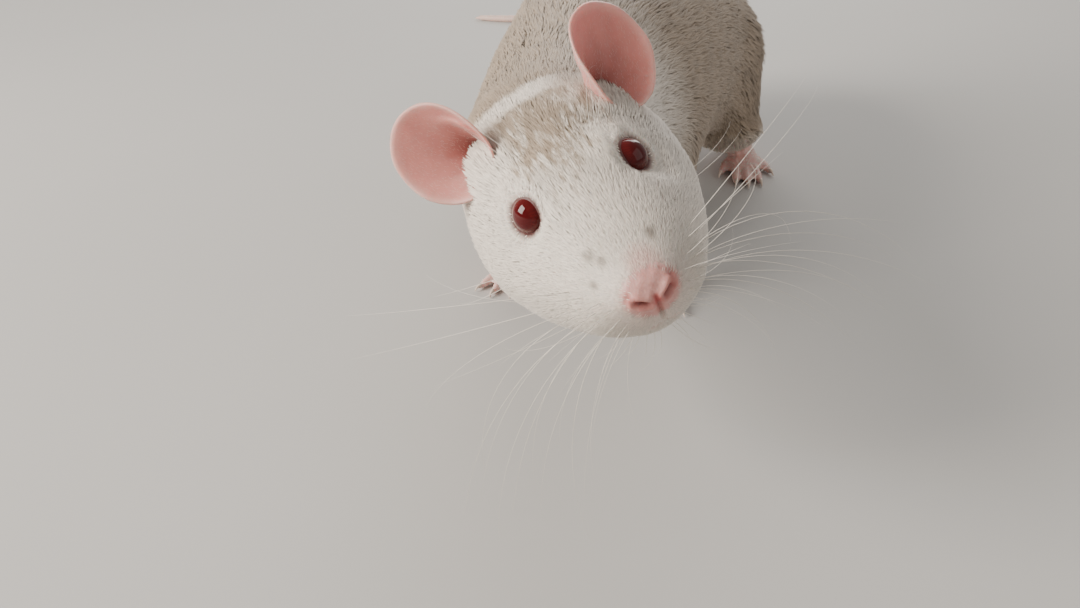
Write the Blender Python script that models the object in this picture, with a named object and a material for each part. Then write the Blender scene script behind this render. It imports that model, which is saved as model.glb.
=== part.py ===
"""A dumbo rat, life size, standing on all four feet with its head cocked towards the viewer.

Metres, +Z up. The rat faces -Y and its left side is +X. Its soles and its tail lie on Z = 0.
Lengths below are given in millimetres and multiplied by MM where a shape is made.
"""

import math
from collections import namedtuple

import bmesh
import bpy
import numpy as np
from mathutils import Matrix, Vector
from mathutils.bvhtree import BVHTree

MM = 0.001
GAP = 0.3  # air between nodes that meet face to face
SIDES = {"left": 1, "right": -1}

# The middle of the whole figure's footprint, in the coordinates that the stance is laid out in.
FOOTPRINT_CENTRE = Vector((49.0, 65.0, 0.0))

# The head: its frame sits midway between the eyes, x to the rat's left, -y to the nose, z up.
EYES_MIDDLE = Vector((0.0, -82.0, 52.0))
HEAD_PITCH = 5.0  # nose down, degrees
HEAD_TILT = 24.0  # left ear up, degrees
HEAD_BACK = -22.0  # forward position of the plane where head meets neck
NOSE_TIP = 24.0
EYE_RADIUS = 3.2
EYE_CENTRE = Vector((8.2, 0.2, 0.35))  # left eye
EYE_FACING = Vector((0.71, -0.52, 0.48))
LID_OPENING = 62.0  # degrees between the eye's axis and the middle of the lids' rims
LID_THICKNESS = 0.55
LID_REACH = 6.4  # how far from the eye's axis the skin still bends towards the lids

EAR_CENTRE = Vector((15.8, 15.3, 8.8))  # middle of the ear's rim, left ear
EAR_OPENING = {"left": Vector((0.50, -0.76, 0.42)), "right": Vector((0.36, -0.80, 0.46))}
EAR_LEAN = {"left": 20.0, "right": 40.0}  # outwards from upright, degrees
EAR_HALF_HEIGHT = 8.9
EAR_HALF_WIDTH = 7.6
EAR_DEPTH = 4.6
EAR_THICKNESS = 0.9
EAR_FOLD_ANGLE = -105.0  # where the rim folds forward, turned from the ear's tip towards the crown
EAR_FOLD_HEIGHT = 2.2
EAR_CANAL_DOWN = 4.6  # from the rim's middle to the deepest point of the cup, away from the tip
EAR_CANAL_IN = 2.6  # and towards the crown
EAR_STALK_RADII = (3.6, 3.6, 4.0)

TAIL_LENGTH = 185.0
TAIL_ROOT_RADIUS = 5.0
TAIL_TIP_RADIUS = 1.1
TAIL_PIECES = 4
TAIL_FLAT = 0.25  # how much of the tail's roundness the floor takes away
TAIL_STEP = 2.5  # between the points of its path
TAIL_BEND_PLACES = [0, 40, 85, 120, 150, TAIL_LENGTH]
TAIL_BENDS = [-0.3, 0.1, 0.9, 1.1, 0.5, -1.1]  # degrees a millimetre at those places, to the rat's right

# Cross-sections of the head, from the neck to the nose tip: how far forward, half the width, the height of
# the widest line, how far the skin reaches above and below that line, and how square its two halves are.
HeadSection = namedtuple("HeadSection", "forward half_width middle up down crown jaw")
HEAD = [
    HeadSection(HEAD_BACK, 17.2, -7.5, 16.0, 14.6, 2.1, 2.1),
    HeadSection(-16, 18.2, -8.4, 17.4, 14.4, 2.1, 2.2),
    HeadSection(-10, 18.9, -9.6, 18.3, 13.3, 2.0, 2.25),
    HeadSection(-4, 18.3, -10.1, 17.6, 12.4, 1.85, 2.3),
    HeadSection(1, 16.8, -10.1, 16.2, 11.7, 1.8, 2.35),
    HeadSection(6, 15.1, -9.8, 14.1, 10.7, 1.85, 2.4),
    HeadSection(11, 12.9, -9.2, 11.7, 9.7, 2.0, 2.4),
    HeadSection(16, 10.3, -8.3, 8.7, 8.7, 2.1, 2.35),
    HeadSection(20, 7.2, -7.6, 5.8, 7.4, 2.1, 2.2),
    HeadSection(22.6, 4.1, -6.5, 3.4, 5.0, 2.0, 2.0),
    HeadSection(NOSE_TIP, 1.3, -5.9, 1.0, 1.5, 2.0, 2.0),
]

# Swellings (height over 0) and hollows of the head: sideways, forward, up, radius, height. They are mirrored.
Swelling = namedtuple("Swelling", "side forward up radius height")
HEAD_SWELLINGS = {
    "whisker pad": Swelling(7.2, 16.5, -9.8, 5.6, 0.6),
    "brow": Swelling(6.0, 2.0, 4.4, 4.0, 0.5),
    "ear foot": Swelling(12.8, -17.5, 1.5, 6.0, 1.0),
    "nostril wing": Swelling(2.3, 22.8, -5.4, 2.1, 0.8),
    "lip split": Swelling(0.0, 22.2, -10.2, 1.8, -0.8),
    "throat": Swelling(0.0, 2.0, -20.0, 9.0, -0.6),
}

# Cross-sections of the trunk, from the tail root to the head: distance along the spine, centre, then how
# far the section is turned, pitched and rolled in degrees, and its half width and reach up and down.
BodySection = namedtuple("BodySection", "along x y z turn pitch roll half_width up down")
TRUNK = [
    BodySection(0, 85.0, 87.0, 19.0, 27, -46, 0, 5.2, 5.2, 5.2),
    BodySection(7, 82.6, 82.0, 24.5, 27, -38, 0, 12.5, 13.5, 11.5),
    BodySection(18, 78.2, 74.5, 31.0, 28, -24, 0, 21.5, 24.5, 18.5),
    BodySection(37, 69.5, 58.8, 35.0, 30, -8, 0, 28.0, 34.0, 25.5),
    BodySection(66, 54.3, 34.3, 37.0, 32, 0, 0, 31.0, 37.5, 27.5),
    BodySection(98, 37.8, 7.0, 38.0, 31, 2, 0, 28.5, 33.5, 26.0),
    BodySection(132, 20.0, -22.3, 39.5, 27, 0, 4, 25.0, 26.5, 22.5),
    BodySection(152, 10.0, -40.0, 43.2, 17, -2, 12, 21.4, 20.8, 18.8),
]
TRUNK_CUTS = {"rump": (0, 33), "belly": (33, 82), "chest": (82, 140), "neck": (140, None)}
TRUNK_RING_SPACING = 5.4
TRUNK_RING_POINTS = 28

# The left legs' joints, on the floor below a place on the spine: x to the left, y to the rear, z up.
SHOULDER_ALONG = 124.0
HIP_ALONG = 47.0
PAW_ADVANCE = {"left": 4.0, "right": -2.0}  # how far each forepaw is ahead of its plain place
SHOULDER = Vector((11.0, -3.0, 37.0))
ELBOW = Vector((18.0, 11.0, 21.5))
WRIST = Vector((16.5, 1.5, 8.4))
UPPER_ARM_RADII = [15.5, 15.6, 14.6, 12.8, 10.6, 8.0]
FOREARM_RADII = [7.6, 7.8, 7.2, 6.3, 5.3, 4.5, 4.0]
THIGH = [Vector((12.0, 22.0, 46.0)), Vector((19.5, 7.0, 34.0)), Vector((25.0, -13.0, 19.5))]
SHANK = [Vector((25.0, -12.0, 17.0)), Vector((27.0, 4.0, 11.5)), Vector((26.0, 18.0, 7.5))]
THIGH_RADII = [9.0, 14.0, 17.2, 18.6, 18.4, 17.0, 14.8, 11.8, 8.0]
SHANK_RADII = [8.5, 9.2, 9.0, 8.2, 7.0, 5.8, 4.8]
HEEL = Vector((26.5, 20.5, 0.0))
HIND_TOE_OUT = 10.0  # degrees

# The paws: along their length, half the width and half the height. Each digit: its place across, how far it is
# splayed in degrees, its length, and how far its root is ahead of the others.
PALM_LENGTH = 9.0
PALM_HALF_WIDTHS = [3.7, 3.6, 3.8, 4.2, 4.2, 3.0]
PALM_HALF_HEIGHTS = [3.7, 3.3, 2.8, 2.4, 2.1, 1.6]
SOLE_PLACES = [0.0, 2.5, 8.0, 15.0, 22.0, 27.5, 30.0]
SOLE_HALF_WIDTHS = [2.6, 3.6, 3.7, 3.6, 4.3, 4.9, 3.6]
SOLE_HALF_HEIGHTS = [2.6, 4.2, 4.2, 3.6, 3.0, 2.5, 1.8]
Digit = namedtuple("Digit", "across splay length ahead")
FINGERS = [Digit(-2.7, -24, 6.6, 0), Digit(-0.9, -8, 8.2, 0), Digit(1.0, 8, 8.2, 0), Digit(2.8, 26, 6.8, 0)]
FINGER_RADIUS, FINGER_CLAW = 1.12, 1.7
TOES = [
    Digit(-4.0, -20, 7.9, -3.5),
    Digit(-2.2, -6, 10.5, 0),
    Digit(0.0, 0, 11.1, 0.6),
    Digit(2.2, 7, 10.5, 0),
    Digit(4.0, 22, 8.1, -4.5),
]
TOE_RADIUS, TOE_CLAW = 1.3, 2.1

MATERIALS = {
    "fur_beige": ((0.60, 0.52, 0.43), 0.85),
    "fur_white": ((0.86, 0.83, 0.78), 0.85),
    "ear_skin": ((0.80, 0.52, 0.48), 0.6),
    "foot_skin": ((0.82, 0.60, 0.55), 0.6),
    "tail_skin": ((0.78, 0.62, 0.56), 0.65),
    "eye_ruby": ((0.16, 0.015, 0.02), 0.08),
}


def clear_scene():
    for thing in list(bpy.data.objects):
        bpy.data.objects.remove(thing)


def material(name):
    """The named Principled material, made once."""
    found = bpy.data.materials.get(name)
    if found:
        return found
    made = bpy.data.materials.new(name)
    made.use_nodes = True
    shader = made.node_tree.nodes["Principled BSDF"]
    colour, roughness = MATERIALS[name]
    shader.inputs["Base Color"].default_value = (*colour, 1.0)
    shader.inputs["Roughness"].default_value = roughness
    shader.inputs["Metallic"].default_value = 0.0
    made.diffuse_color = (*colour, 1.0)
    return made


def eased(places, values, at):
    """The smooth curve through values at places, without overshoot, read at one place."""
    places = np.asarray(places, float)
    values = np.asarray(values, float)
    step = np.diff(places)
    slope = np.diff(values) / step
    lean = np.concatenate([slope[:1], np.zeros(len(slope) - 1), slope[-1:]])
    for k in range(1, len(slope)):
        before, after = slope[k - 1], slope[k]
        if before * after > 0:
            heavy, light = 2 * step[k] + step[k - 1], step[k] + 2 * step[k - 1]
            lean[k] = (heavy + light) / (heavy / before + light / after)
    k = int(np.clip(np.searchsorted(places, at) - 1, 0, len(step) - 1))
    t = (at - places[k]) / step[k]
    start = (1 + 2 * t) * (1 - t) ** 2 * values[k] + t * (1 - t) ** 2 * step[k] * lean[k]
    end = t * t * (3 - 2 * t) * values[k + 1] + t * t * (t - 1) * step[k] * lean[k + 1]
    return float(start + end)


def eased_row(table, at):
    """A section between those of a table whose first column says where they are."""
    columns = list(zip(*table))
    return type(table[0])(*[eased(columns[0], column, at) for column in columns])


def oval(frame, half_width, up, down, count, above=2.0, below=2.0):
    """Points round a section: an oval in the x-z plane of frame, whose halves can be squarer or sharper."""
    points = []
    for k in range(count):
        angle = math.tau * k / count
        across, rise = math.cos(angle), math.sin(angle)
        square = above if rise > 0 else below
        x = half_width * math.copysign(abs(across) ** (2 / square), across)
        z = (up if rise > 0 else down) * math.copysign(abs(rise) ** (2 / square), rise)
        points.append(frame @ Vector((x, 0.0, z)))
    return points


def loft(name, rings):
    """A closed skin over rings of equally many points, with a fan of faces over each end."""
    mesh = bmesh.new()
    rows = [[mesh.verts.new(point * MM) for point in ring] for ring in rings]
    count = len(rows[0])
    for low, high in zip(rows, rows[1:]):
        for k in range(count):
            after = (k + 1) % count
            mesh.faces.new((low[k], low[after], high[after], high[k]))
    for row in (rows[0], rows[-1]):
        middle = mesh.verts.new(sum((v.co for v in row), Vector()) / count)
        for k in range(count):
            mesh.faces.new((row[k], row[(k + 1) % count], middle))
    return finished(name, mesh)


def finished(name, mesh):
    """The object made of a bmesh, with its faces turned outwards and split into triangles."""
    bmesh.ops.recalc_face_normals(mesh, faces=mesh.faces)
    bmesh.ops.triangulate(mesh, faces=mesh.faces)
    data = bpy.data.meshes.new(name)
    mesh.to_mesh(data)
    mesh.free()
    thing = bpy.data.objects.new(name, data)
    bpy.context.scene.collection.objects.link(thing)
    return thing


def combine(base, others, operation):
    """Applies one Boolean of closed objects to base, removes them, and keeps the largest closed surface."""
    group = bpy.data.collections.new("pieces")
    bpy.context.scene.collection.children.link(group)
    for other in others:
        bpy.context.scene.collection.objects.unlink(other)
        group.objects.link(other)
    change = base.modifiers.new("combine", "BOOLEAN")
    change.operation = operation
    change.operand_type = "COLLECTION"
    change.collection = group
    change.solver = "EXACT"
    evaluated(base)
    for other in list(group.objects):
        bpy.data.objects.remove(other)
    bpy.data.collections.remove(group)
    keep_largest(base)
    return base


def evaluated(thing):
    """Replaces an object's mesh by what its modifiers make of it, and removes them."""
    bpy.context.view_layer.update()
    seen = thing.evaluated_get(bpy.context.evaluated_depsgraph_get())
    old, thing.data = thing.data, bpy.data.meshes.new_from_object(seen)
    thing.modifiers.clear()
    bpy.data.meshes.remove(old)


def soften(thing, cell, rounds, faces):
    """Melts joined pieces into one smooth flesh, in cells of the given size, with about so many triangles."""
    remesh = thing.modifiers.new("melt", "REMESH")
    remesh.mode = "VOXEL"
    remesh.voxel_size = cell * MM
    smooth = thing.modifiers.new("smooth", "SMOOTH")
    smooth.factor = 0.5
    smooth.iterations = rounds
    evaluated(thing)
    mesh = bmesh.new()
    mesh.from_mesh(thing.data)
    bmesh.ops.triangulate(mesh, faces=mesh.faces)
    mesh.to_mesh(thing.data)
    mesh.free()
    thin = thing.modifiers.new("thin", "DECIMATE")
    thin.ratio = min(1.0, faces / len(thing.data.polygons))
    evaluated(thing)
    return thing


def keep_largest(thing):
    """Drops every closed surface of the object but the widest one."""
    mesh = bmesh.new()
    mesh.from_mesh(thing.data)
    bmesh.ops.remove_doubles(mesh, verts=mesh.verts, dist=1e-7)
    left, shells = set(mesh.verts), []
    while left:
        seeds, shell = [left.pop()], set()
        while seeds:
            vertex = seeds.pop()
            shell.add(vertex)
            near = {edge.other_vert(vertex) for edge in vertex.link_edges} & left
            left -= near
            seeds.extend(near)
        shells.append(shell)
    shells.sort(key=spread)
    loose = [vertex for shell in shells[:-1] for vertex in shell]
    bmesh.ops.delete(mesh, geom=loose, context="VERTS")
    bmesh.ops.triangulate(mesh, faces=mesh.faces)
    mesh.to_mesh(thing.data)
    mesh.free()


def spread(shell):
    """The diagonal of a shell's box."""
    places = np.array([vertex.co for vertex in shell])
    return float(np.linalg.norm(places.max(0) - places.min(0)))


def dress(thing, material_name):
    """Gives a node its material and smooth shading."""
    thing.data.materials.clear()
    thing.data.materials.append(material(material_name))
    thing.data.shade_smooth()
    return thing


def turned(turn, pitch, roll):
    """The frame of a section: turned about z, then pitched nose down, then rolled left side up."""
    about_z = Matrix.Rotation(math.radians(-turn), 4, "Z")
    about_x = Matrix.Rotation(math.radians(pitch), 4, "X")
    about_y = Matrix.Rotation(math.radians(-roll), 4, "Y")
    return about_z @ about_x @ about_y


def head_frame():
    return Matrix.Translation(EYES_MIDDLE) @ turned(0.0, HEAD_PITCH, HEAD_TILT)


def trunk_table():
    """The trunk's sections with the head's rear section added as the last, so that neck and head agree."""
    rear = HEAD[0]
    centre = head_frame() @ Vector((0.0, -rear.forward, rear.middle))
    last = TRUNK[-1]
    here = last.along + (centre - Vector((last.x, last.y, last.z))).length
    nape = BodySection(here, *centre, 0.0, HEAD_PITCH, HEAD_TILT, rear.half_width, rear.up, rear.down)
    return [*TRUNK, nape]


def trunk_frame(table, along):
    section = eased_row(table, along)
    place = Matrix.Translation(Vector((section.x, section.y, section.z)))
    return place @ turned(section.turn, section.pitch, section.roll), section


def trunk_rings(start, end, grow=0.0):
    """Rings round the trunk from start to end along the spine, grown outwards by grow."""
    table = trunk_table()
    steps = max(2, round((end - start) / TRUNK_RING_SPACING))
    rings = []
    for k in range(steps + 1):
        frame, section = trunk_frame(table, start + (end - start) * k / steps)
        sizes = (section.half_width + grow, section.up + grow, section.down + grow)
        rings.append(oval(frame, *sizes, TRUNK_RING_POINTS, 2.1, 2.1))
    return rings


def make_trunk():
    """The rump, belly, chest and neck, cut from one skin with a thin gap at each cut."""
    end_of_neck = trunk_table()[-1].along
    for name, (start, end) in TRUNK_CUTS.items():
        first = start + (GAP if start else 0.0)
        last = end_of_neck - GAP if end is None else end
        dress(loft(name, trunk_rings(first, last)), "fur_beige")


def head_section_places():
    """Forward places of the head's rings, closer together towards the nose."""
    count, crowding = 36, 1.45
    reach = NOSE_TIP - HEAD_BACK
    return [HEAD_BACK + reach * (1 - (1 - k / count) ** crowding) for k in range(count + 1)]


def head_skin(name, grow=0.0):
    """The head's closed skin with its swellings, in the head's frame, grown outwards by grow."""
    ring_points = 38
    rings = []
    for forward in head_section_places():
        section = eased_row(HEAD, forward)
        frame = Matrix.Translation(Vector((0.0, -forward, section.middle)))
        sizes = (section.half_width, section.up, section.down)
        rings.append(oval(frame, *sizes, ring_points, section.crown, section.jaw))
    skin = loft(name, rings)
    for swelling in HEAD_SWELLINGS.values():
        swell(skin, swelling)
    for side in SIDES.values():
        seat_eye(skin, side)
    if grow:
        push_out(skin, grow)
    return skin


def swell(skin, swelling):
    """Moves the skin near a swelling, and near its mirror image, along its normals."""
    sides = (1, -1) if swelling.side else (1,)
    centres = [Vector((side * swelling.side, -swelling.forward, swelling.up)) for side in sides]
    moves = []
    for vertex in skin.data.vertices:
        amount = 0.0
        for centre in centres:
            away = (vertex.co / MM - centre).length / swelling.radius
            if away < 1:
                amount += swelling.height * (1 - away * away) ** 2
        moves.append(vertex.normal * amount * MM)
    for vertex, move in zip(skin.data.vertices, moves):
        vertex.co += move
    skin.data.update()


def seat_eye(skin, side):
    """Draws the skin round an eye to the height of the rim of its lids."""
    out = mirrored(EYE_FACING, side).normalized()
    rim_height = lid_middle_radius() * math.cos(math.radians(LID_OPENING))
    rim_radius = lid_middle_radius() * math.sin(math.radians(LID_OPENING))
    for vertex in skin.data.vertices:
        away = vertex.co / MM - eye_centre(side)
        height = away.dot(out)
        beside = (away - out * height).length
        if height < -EYE_RADIUS or beside > LID_REACH:
            continue
        share = min(1.0, (LID_REACH - beside) / (LID_REACH - rim_radius))
        pull = share * share * (3 - 2 * share)
        vertex.co += out * (rim_height - height) * pull * MM
    skin.data.update()


def push_out(skin, grow):
    moves = [vertex.normal * grow * MM for vertex in skin.data.vertices]
    for vertex, move in zip(skin.data.vertices, moves):
        vertex.co += move
    skin.data.update()


def tube(name, points, radii, count):
    """A closed tube through points, each ring square to the path."""
    rings = []
    for k, (point, radius) in enumerate(zip(points, radii)):
        ahead = points[min(k + 1, len(points) - 1)] - points[max(k - 1, 0)]
        rings.append(oval(facing(point, ahead), radius, radius, radius, count))
    return loft(name, rings)


def facing(place, ahead, upward=(0.0, 0.0, 1.0)):
    """A frame at place whose y runs along ahead and whose z is as near to upward as it can be."""
    y = ahead.normalized()
    x = y.cross(Vector(upward)).normalized()
    z = x.cross(y)
    turn = Matrix((x, y, z)).transposed().to_4x4()
    return Matrix.Translation(place) @ turn


def smooth_path(points, count):
    """Count points, evenly spread, on a smooth curve through the given ones."""
    lengths = [0.0]
    for a, b in zip(points, points[1:]):
        lengths.append(lengths[-1] + (b - a).length)
    places = [lengths[-1] * k / (count - 1) for k in range(count)]
    columns = list(zip(*points))
    return [Vector([eased(lengths, column, at) for column in columns]) for at in places]


def ball(name, centre, radii, rows=12, count=18):
    """An ellipsoid of the given radii, with its poles along y."""
    rings = []
    for k in range(1, rows):
        angle = math.pi * k / rows
        frame = Matrix.Translation(centre - Vector((0.0, radii[1] * math.cos(angle), 0.0)))
        wide, high = radii[0] * math.sin(angle), radii[2] * math.sin(angle)
        rings.append(oval(frame, wide, high, high, count))
    thing = loft(name, rings)
    for k, end in ((-1, 1), (-2, -1)):
        thing.data.vertices[k].co = (centre + Vector((0.0, end * radii[1], 0.0))) * MM
    return thing


def mirrored(vector, side):
    return Vector((side * vector.x, vector.y, vector.z))


def eye_centre(side):
    return mirrored(EYE_CENTRE, side)


def lid_middle_radius():
    """How far the middle of the lids' flesh is from the eye's centre."""
    return EYE_RADIUS + GAP + 0.45 * LID_THICKNESS


def lid_path(side, count=22):
    """The rim of the eye's opening: an almond whose front corner points down to the nose."""
    out = mirrored(EYE_FACING, side).normalized()
    along = Vector((0.0, -0.86, -0.5))
    along = (along - out * along.dot(out)).normalized()
    across = out.cross(along)
    radius = lid_middle_radius()
    opening = radius * math.sin(math.radians(LID_OPENING))
    points = []
    for k in range(count):
        angle = math.tau * k / count
        reach = opening * (along * math.cos(angle) * 1.08 + across * math.sin(angle) * 0.93)
        height = math.sqrt(radius**2 - reach.length_squared)
        points.append(eye_centre(side) + reach + out * height)
    return points


def lids(name, side):
    """A closed ring of flesh round the eye's opening."""
    path = lid_path(side)
    count, sides = len(path), 7
    mesh = bmesh.new()
    rows = []
    for k, point in enumerate(path):
        ahead = path[(k + 1) % count] - path[k - 1]
        frame = facing(point, ahead, point - eye_centre(side))
        ring = oval(frame, LID_THICKNESS, LID_THICKNESS, LID_THICKNESS, sides)
        rows.append([mesh.verts.new(p * MM) for p in ring])
    for k in range(count):
        low, high = rows[k], rows[(k + 1) % count]
        for j in range(sides):
            after = (j + 1) % sides
            mesh.faces.new((low[j], low[after], high[after], high[j]))
    return finished(name, mesh)


def skin_tree(skin):
    """A search tree of a skin's faces, in millimetres."""
    corners = [vertex.co / MM for vertex in skin.data.vertices]
    return BVHTree.FromPolygons(corners, [list(face.vertices) for face in skin.data.polygons])


def nostril(name, side, tree):
    """A comma-shaped slit that starts by the nose's middle and curls out and up round the wing."""
    bends = [
        Vector((0.8, -NOSE_TIP, -7.0)),
        Vector((1.6, -NOSE_TIP, -6.7)),
        Vector((2.6, 0.9 - NOSE_TIP, -6.1)),
        Vector((3.4, 2.1 - NOSE_TIP, -4.9)),
    ]
    path = smooth_path([tree.find_nearest(mirrored(bend, side))[0] for bend in bends], 8)
    radii = [0.42, 0.56, 0.7, 0.74, 0.68, 0.56, 0.42, 0.3]
    return tube(name, path, radii, 8)


def mouth_line(name, tree):
    """The groove between the lips, from corner to corner under the nose."""
    half = [
        Vector((0.0, -21.8, -12.2)),
        Vector((1.6, -21.2, -12.9)),
        Vector((3.6, -19.8, -13.9)),
        Vector((5.8, -17.0, -14.5)),
        Vector((7.6, -13.0, -14.9)),
        Vector((9.2, -9.5, -15.1)),
    ]
    whole = [mirrored(point, -1) for point in reversed(half[1:])] + half
    path = smooth_path([tree.find_nearest(point)[0] for point in whole], 27)
    ends = [0.12, 0.28, 0.4]
    radii = ends + [0.48] * (len(path) - 2 * len(ends)) + ends[::-1]
    return tube(name, path, radii, 8)


def make_head():
    """The head with lids, nostrils and the line of the mouth, and the two eyes in their sockets."""
    frame = head_frame()
    head = head_skin("head")
    combine(head, [lids(f"lids_{name}", side) for name, side in SIDES.items()], "UNION")
    tree = skin_tree(head)
    socket = EYE_RADIUS + GAP
    cutters = [ball(f"socket_{name}", eye_centre(side), [socket] * 3) for name, side in SIDES.items()]
    cutters += [nostril(f"nostril_{name}", side, tree) for name, side in SIDES.items()]
    cutters.append(mouth_line("mouth", tree))
    combine(head, cutters, "DIFFERENCE")
    head.data.transform(in_metres(frame))
    dress(head, "fur_white")
    for name, side in SIDES.items():
        eye = ball(f"eye_{name}", eye_centre(side), [EYE_RADIUS] * 3, 10, 16)
        eye.data.transform(in_metres(frame))
        dress(eye, "eye_ruby")


def in_metres(frame):
    """The same movement as frame, for meshes whose points are already in metres."""
    moved = frame.copy()
    moved.translation = frame.translation * MM
    return moved


def ear_axes(name, side):
    """The ear's opening, tip and outward directions, square to each other."""
    opening = mirrored(EAR_OPENING[name], side).normalized()
    lean = math.radians(EAR_LEAN[name])
    tip = Vector((side * math.sin(lean), 0.0, math.cos(lean)))
    tip = (tip - opening * tip.dot(opening)).normalized()
    outward = tip.cross(opening) * side
    return opening, tip, outward


def ear_point(name, side, share, angle):
    """A point of the cup's inner face: share runs from its deepest point, 0, to its rim, 1."""
    opening, tip, outward = ear_axes(name, side)
    up, out = math.cos(angle), math.sin(angle)
    to_root = -(1 - share) * (tip * EAR_CANAL_DOWN + outward * EAR_CANAL_IN)
    fold = max(0.0, math.cos(angle - math.radians(EAR_FOLD_ANGLE))) ** 3
    reach = tip * EAR_HALF_HEIGHT * up + outward * EAR_HALF_WIDTH * out * (1 - 0.22 * fold)
    height = -EAR_DEPTH * (1 - share**1.7) + EAR_FOLD_HEIGHT * fold * share**2
    backward_lean = -0.9 * share**3 * max(0.0, up)
    return mirrored(EAR_CENTRE, side) + to_root + reach * share + opening * (height + backward_lean)


def ear_dish(node, name, side):
    """The cup of the ear as a closed shell: a round dish with its inner edge folded forward."""
    opening, tip, outward = ear_axes(name, side)
    circles, count = 7, 28
    mesh = bmesh.new()
    fronts, backs = [], []
    for j in range(1, circles + 1):
        share = j / circles
        thick = EAR_THICKNESS * (1.35 - 0.65 * share)
        front_row, back_row = [], []
        for k in range(count):
            angle = math.tau * k / count
            place = ear_point(name, side, share, angle)
            flare = (outward * math.sin(angle) + tip * math.cos(angle)) * 0.35 * share
            front_row.append(mesh.verts.new(place * MM))
            back_row.append(mesh.verts.new((place - (opening - flare) * thick) * MM))
        fronts.append(front_row)
        backs.append(back_row)
    bottom = ear_point(name, side, 0.0, 0.0)
    for rows, sunk in ((fronts, 0.0), (backs, 1.35 * EAR_THICKNESS)):
        for low, high in zip(rows, rows[1:]):
            for k in range(count):
                after = (k + 1) % count
                mesh.faces.new((low[k], low[after], high[after]))
                mesh.faces.new((low[k], high[after], high[k]))
        middle = mesh.verts.new((bottom - opening * sunk) * MM)
        for k in range(count):
            mesh.faces.new((middle, rows[0][k], rows[0][(k + 1) % count]))
    for k in range(count):
        after = (k + 1) % count
        mesh.faces.new((fronts[-1][k], fronts[-1][after], backs[-1][after]))
        mesh.faces.new((fronts[-1][k], backs[-1][after], backs[-1][k]))
    return finished(node, mesh)


def make_ears():
    """Each ear is a dish on a fleshy root, cut clear of the head and neck by the gap."""
    frame = head_frame()
    for name, side in SIDES.items():
        ear = ear_dish(f"ear_{name}", name, side)
        opening, tip, _ = ear_axes(name, side)
        root = ear_point(name, side, 0.0, 0.0) - opening * 2.8 - tip * 1.6
        stalk = ball("stalk", root, EAR_STALK_RADII, 8, 12)
        combine(ear, [stalk], "UNION")
        ear.data.transform(in_metres(frame))
        skull = head_skin("clearance", GAP)
        skull.data.transform(in_metres(frame))
        nape = loft("nape", trunk_rings(TRUNK_CUTS["neck"][0], trunk_table()[-1].along + GAP, GAP))
        combine(ear, [skull], "DIFFERENCE")
        combine(ear, [nape], "DIFFERENCE")
        dress(ear, "ear_skin")


def tail_path():
    """Points along the tail: off the rump, down to the floor, then a wide bend behind the rump."""
    table = trunk_table()
    frame, _ = trunk_frame(table, 0.0)
    place = frame.translation.copy()
    backward = frame.to_3x3() @ Vector((0.0, 1.0, 0.0))
    heading = math.atan2(backward.x, backward.y)
    points = [place.copy()]
    for k in range(round(TAIL_LENGTH / TAIL_STEP)):
        gone = (k + 1) * TAIL_STEP
        rest_height = tail_radius(gone)
        drop = max(0.0, place.z - rest_height)
        slope = -min(math.radians(42), drop / 16.0)
        heading -= math.radians(eased(TAIL_BEND_PLACES, TAIL_BENDS, gone)) * TAIL_STEP
        level, fall = math.cos(slope) * TAIL_STEP, math.sin(slope) * TAIL_STEP
        place = place + Vector((math.sin(heading) * level, math.cos(heading) * level, fall))
        place.z = max(place.z, rest_height)
        points.append(place.copy())
    return points


def tail_radius(gone):
    share = gone / TAIL_LENGTH
    return TAIL_ROOT_RADIUS + (TAIL_TIP_RADIUS - TAIL_ROOT_RADIUS) * share**0.85


def make_tail():
    """The tail in four lengths, round, with a narrow flat where it lies on the floor."""
    points = tail_path()
    per_piece = (len(points) - 1) / TAIL_PIECES
    for piece in range(TAIL_PIECES):
        first, last = round(piece * per_piece), round((piece + 1) * per_piece)
        rings = []
        for k in range(first, last + 1):
            ahead = points[min(k + 1, len(points) - 1)] - points[max(k - 1, 0)]
            place = points[k].copy()
            if k == first:
                place += ahead.normalized() * GAP
            if k % 2 and k not in (first, last):
                continue
            radius = tail_radius(k * TAIL_STEP)
            if piece == TAIL_PIECES - 1 and k == last:
                radius *= 0.55
            frame = facing(place - Vector((0.0, 0.0, TAIL_FLAT)), ahead)
            ring = oval(frame, radius, radius, radius, 12)
            rings.append([Vector((p.x, p.y, max(p.z, 0.0))) for p in ring])
        dress(loft(f"tail_{piece + 1}", rings), "tail_skin")


def standing_frame(along):
    """A frame on the floor under a place on the spine, turned with the body there."""
    section = eased_row(trunk_table(), along)
    return Matrix.Translation(Vector((section.x, section.y, 0.0))) @ turned(section.turn, 0.0, 0.0)


def digit(name, start, heading, length, radius, claw):
    """A toe with its claw: arched, tapering, its tip on the floor. It gives the two objects."""
    away = Vector((math.sin(heading), -math.cos(heading), 0.0))
    rise = Vector((0.0, 0.0, 1.0))
    knuckle = start + away * length * 0.4 + rise * radius * 0.3
    tip = start + away * length
    tip.z = radius * 0.5
    path = smooth_path([start, knuckle, tip], 5)
    radii = [radius * share for share in (1.0, 1.05, 0.98, 0.92, 0.5)]
    toe = tube(name, path, radii, 7)
    root = tip - away * radius * 0.7 + rise * radius * 0.28
    end = tip + away * claw
    end.z = 0.35
    middle = (root + end) / 2 + rise * claw * 0.22
    nail_radii = [radius * share for share in (0.5, 0.38, 0.16)]
    nail = tube(f"{name}_claw", [root, middle, end], nail_radii, 5)
    return [toe, nail]


def floor_cutter():
    """A slab under the floor, which gives each sole its flat."""
    mesh = bmesh.new()
    bmesh.ops.create_cube(mesh, size=1.0)
    slab = finished("floor", mesh)
    slab.data.transform(Matrix.Diagonal((0.5, 0.5, 0.02, 1.0)))
    slab.data.transform(Matrix.Translation((0.0, 0.0, -0.01)))
    return slab


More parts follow.
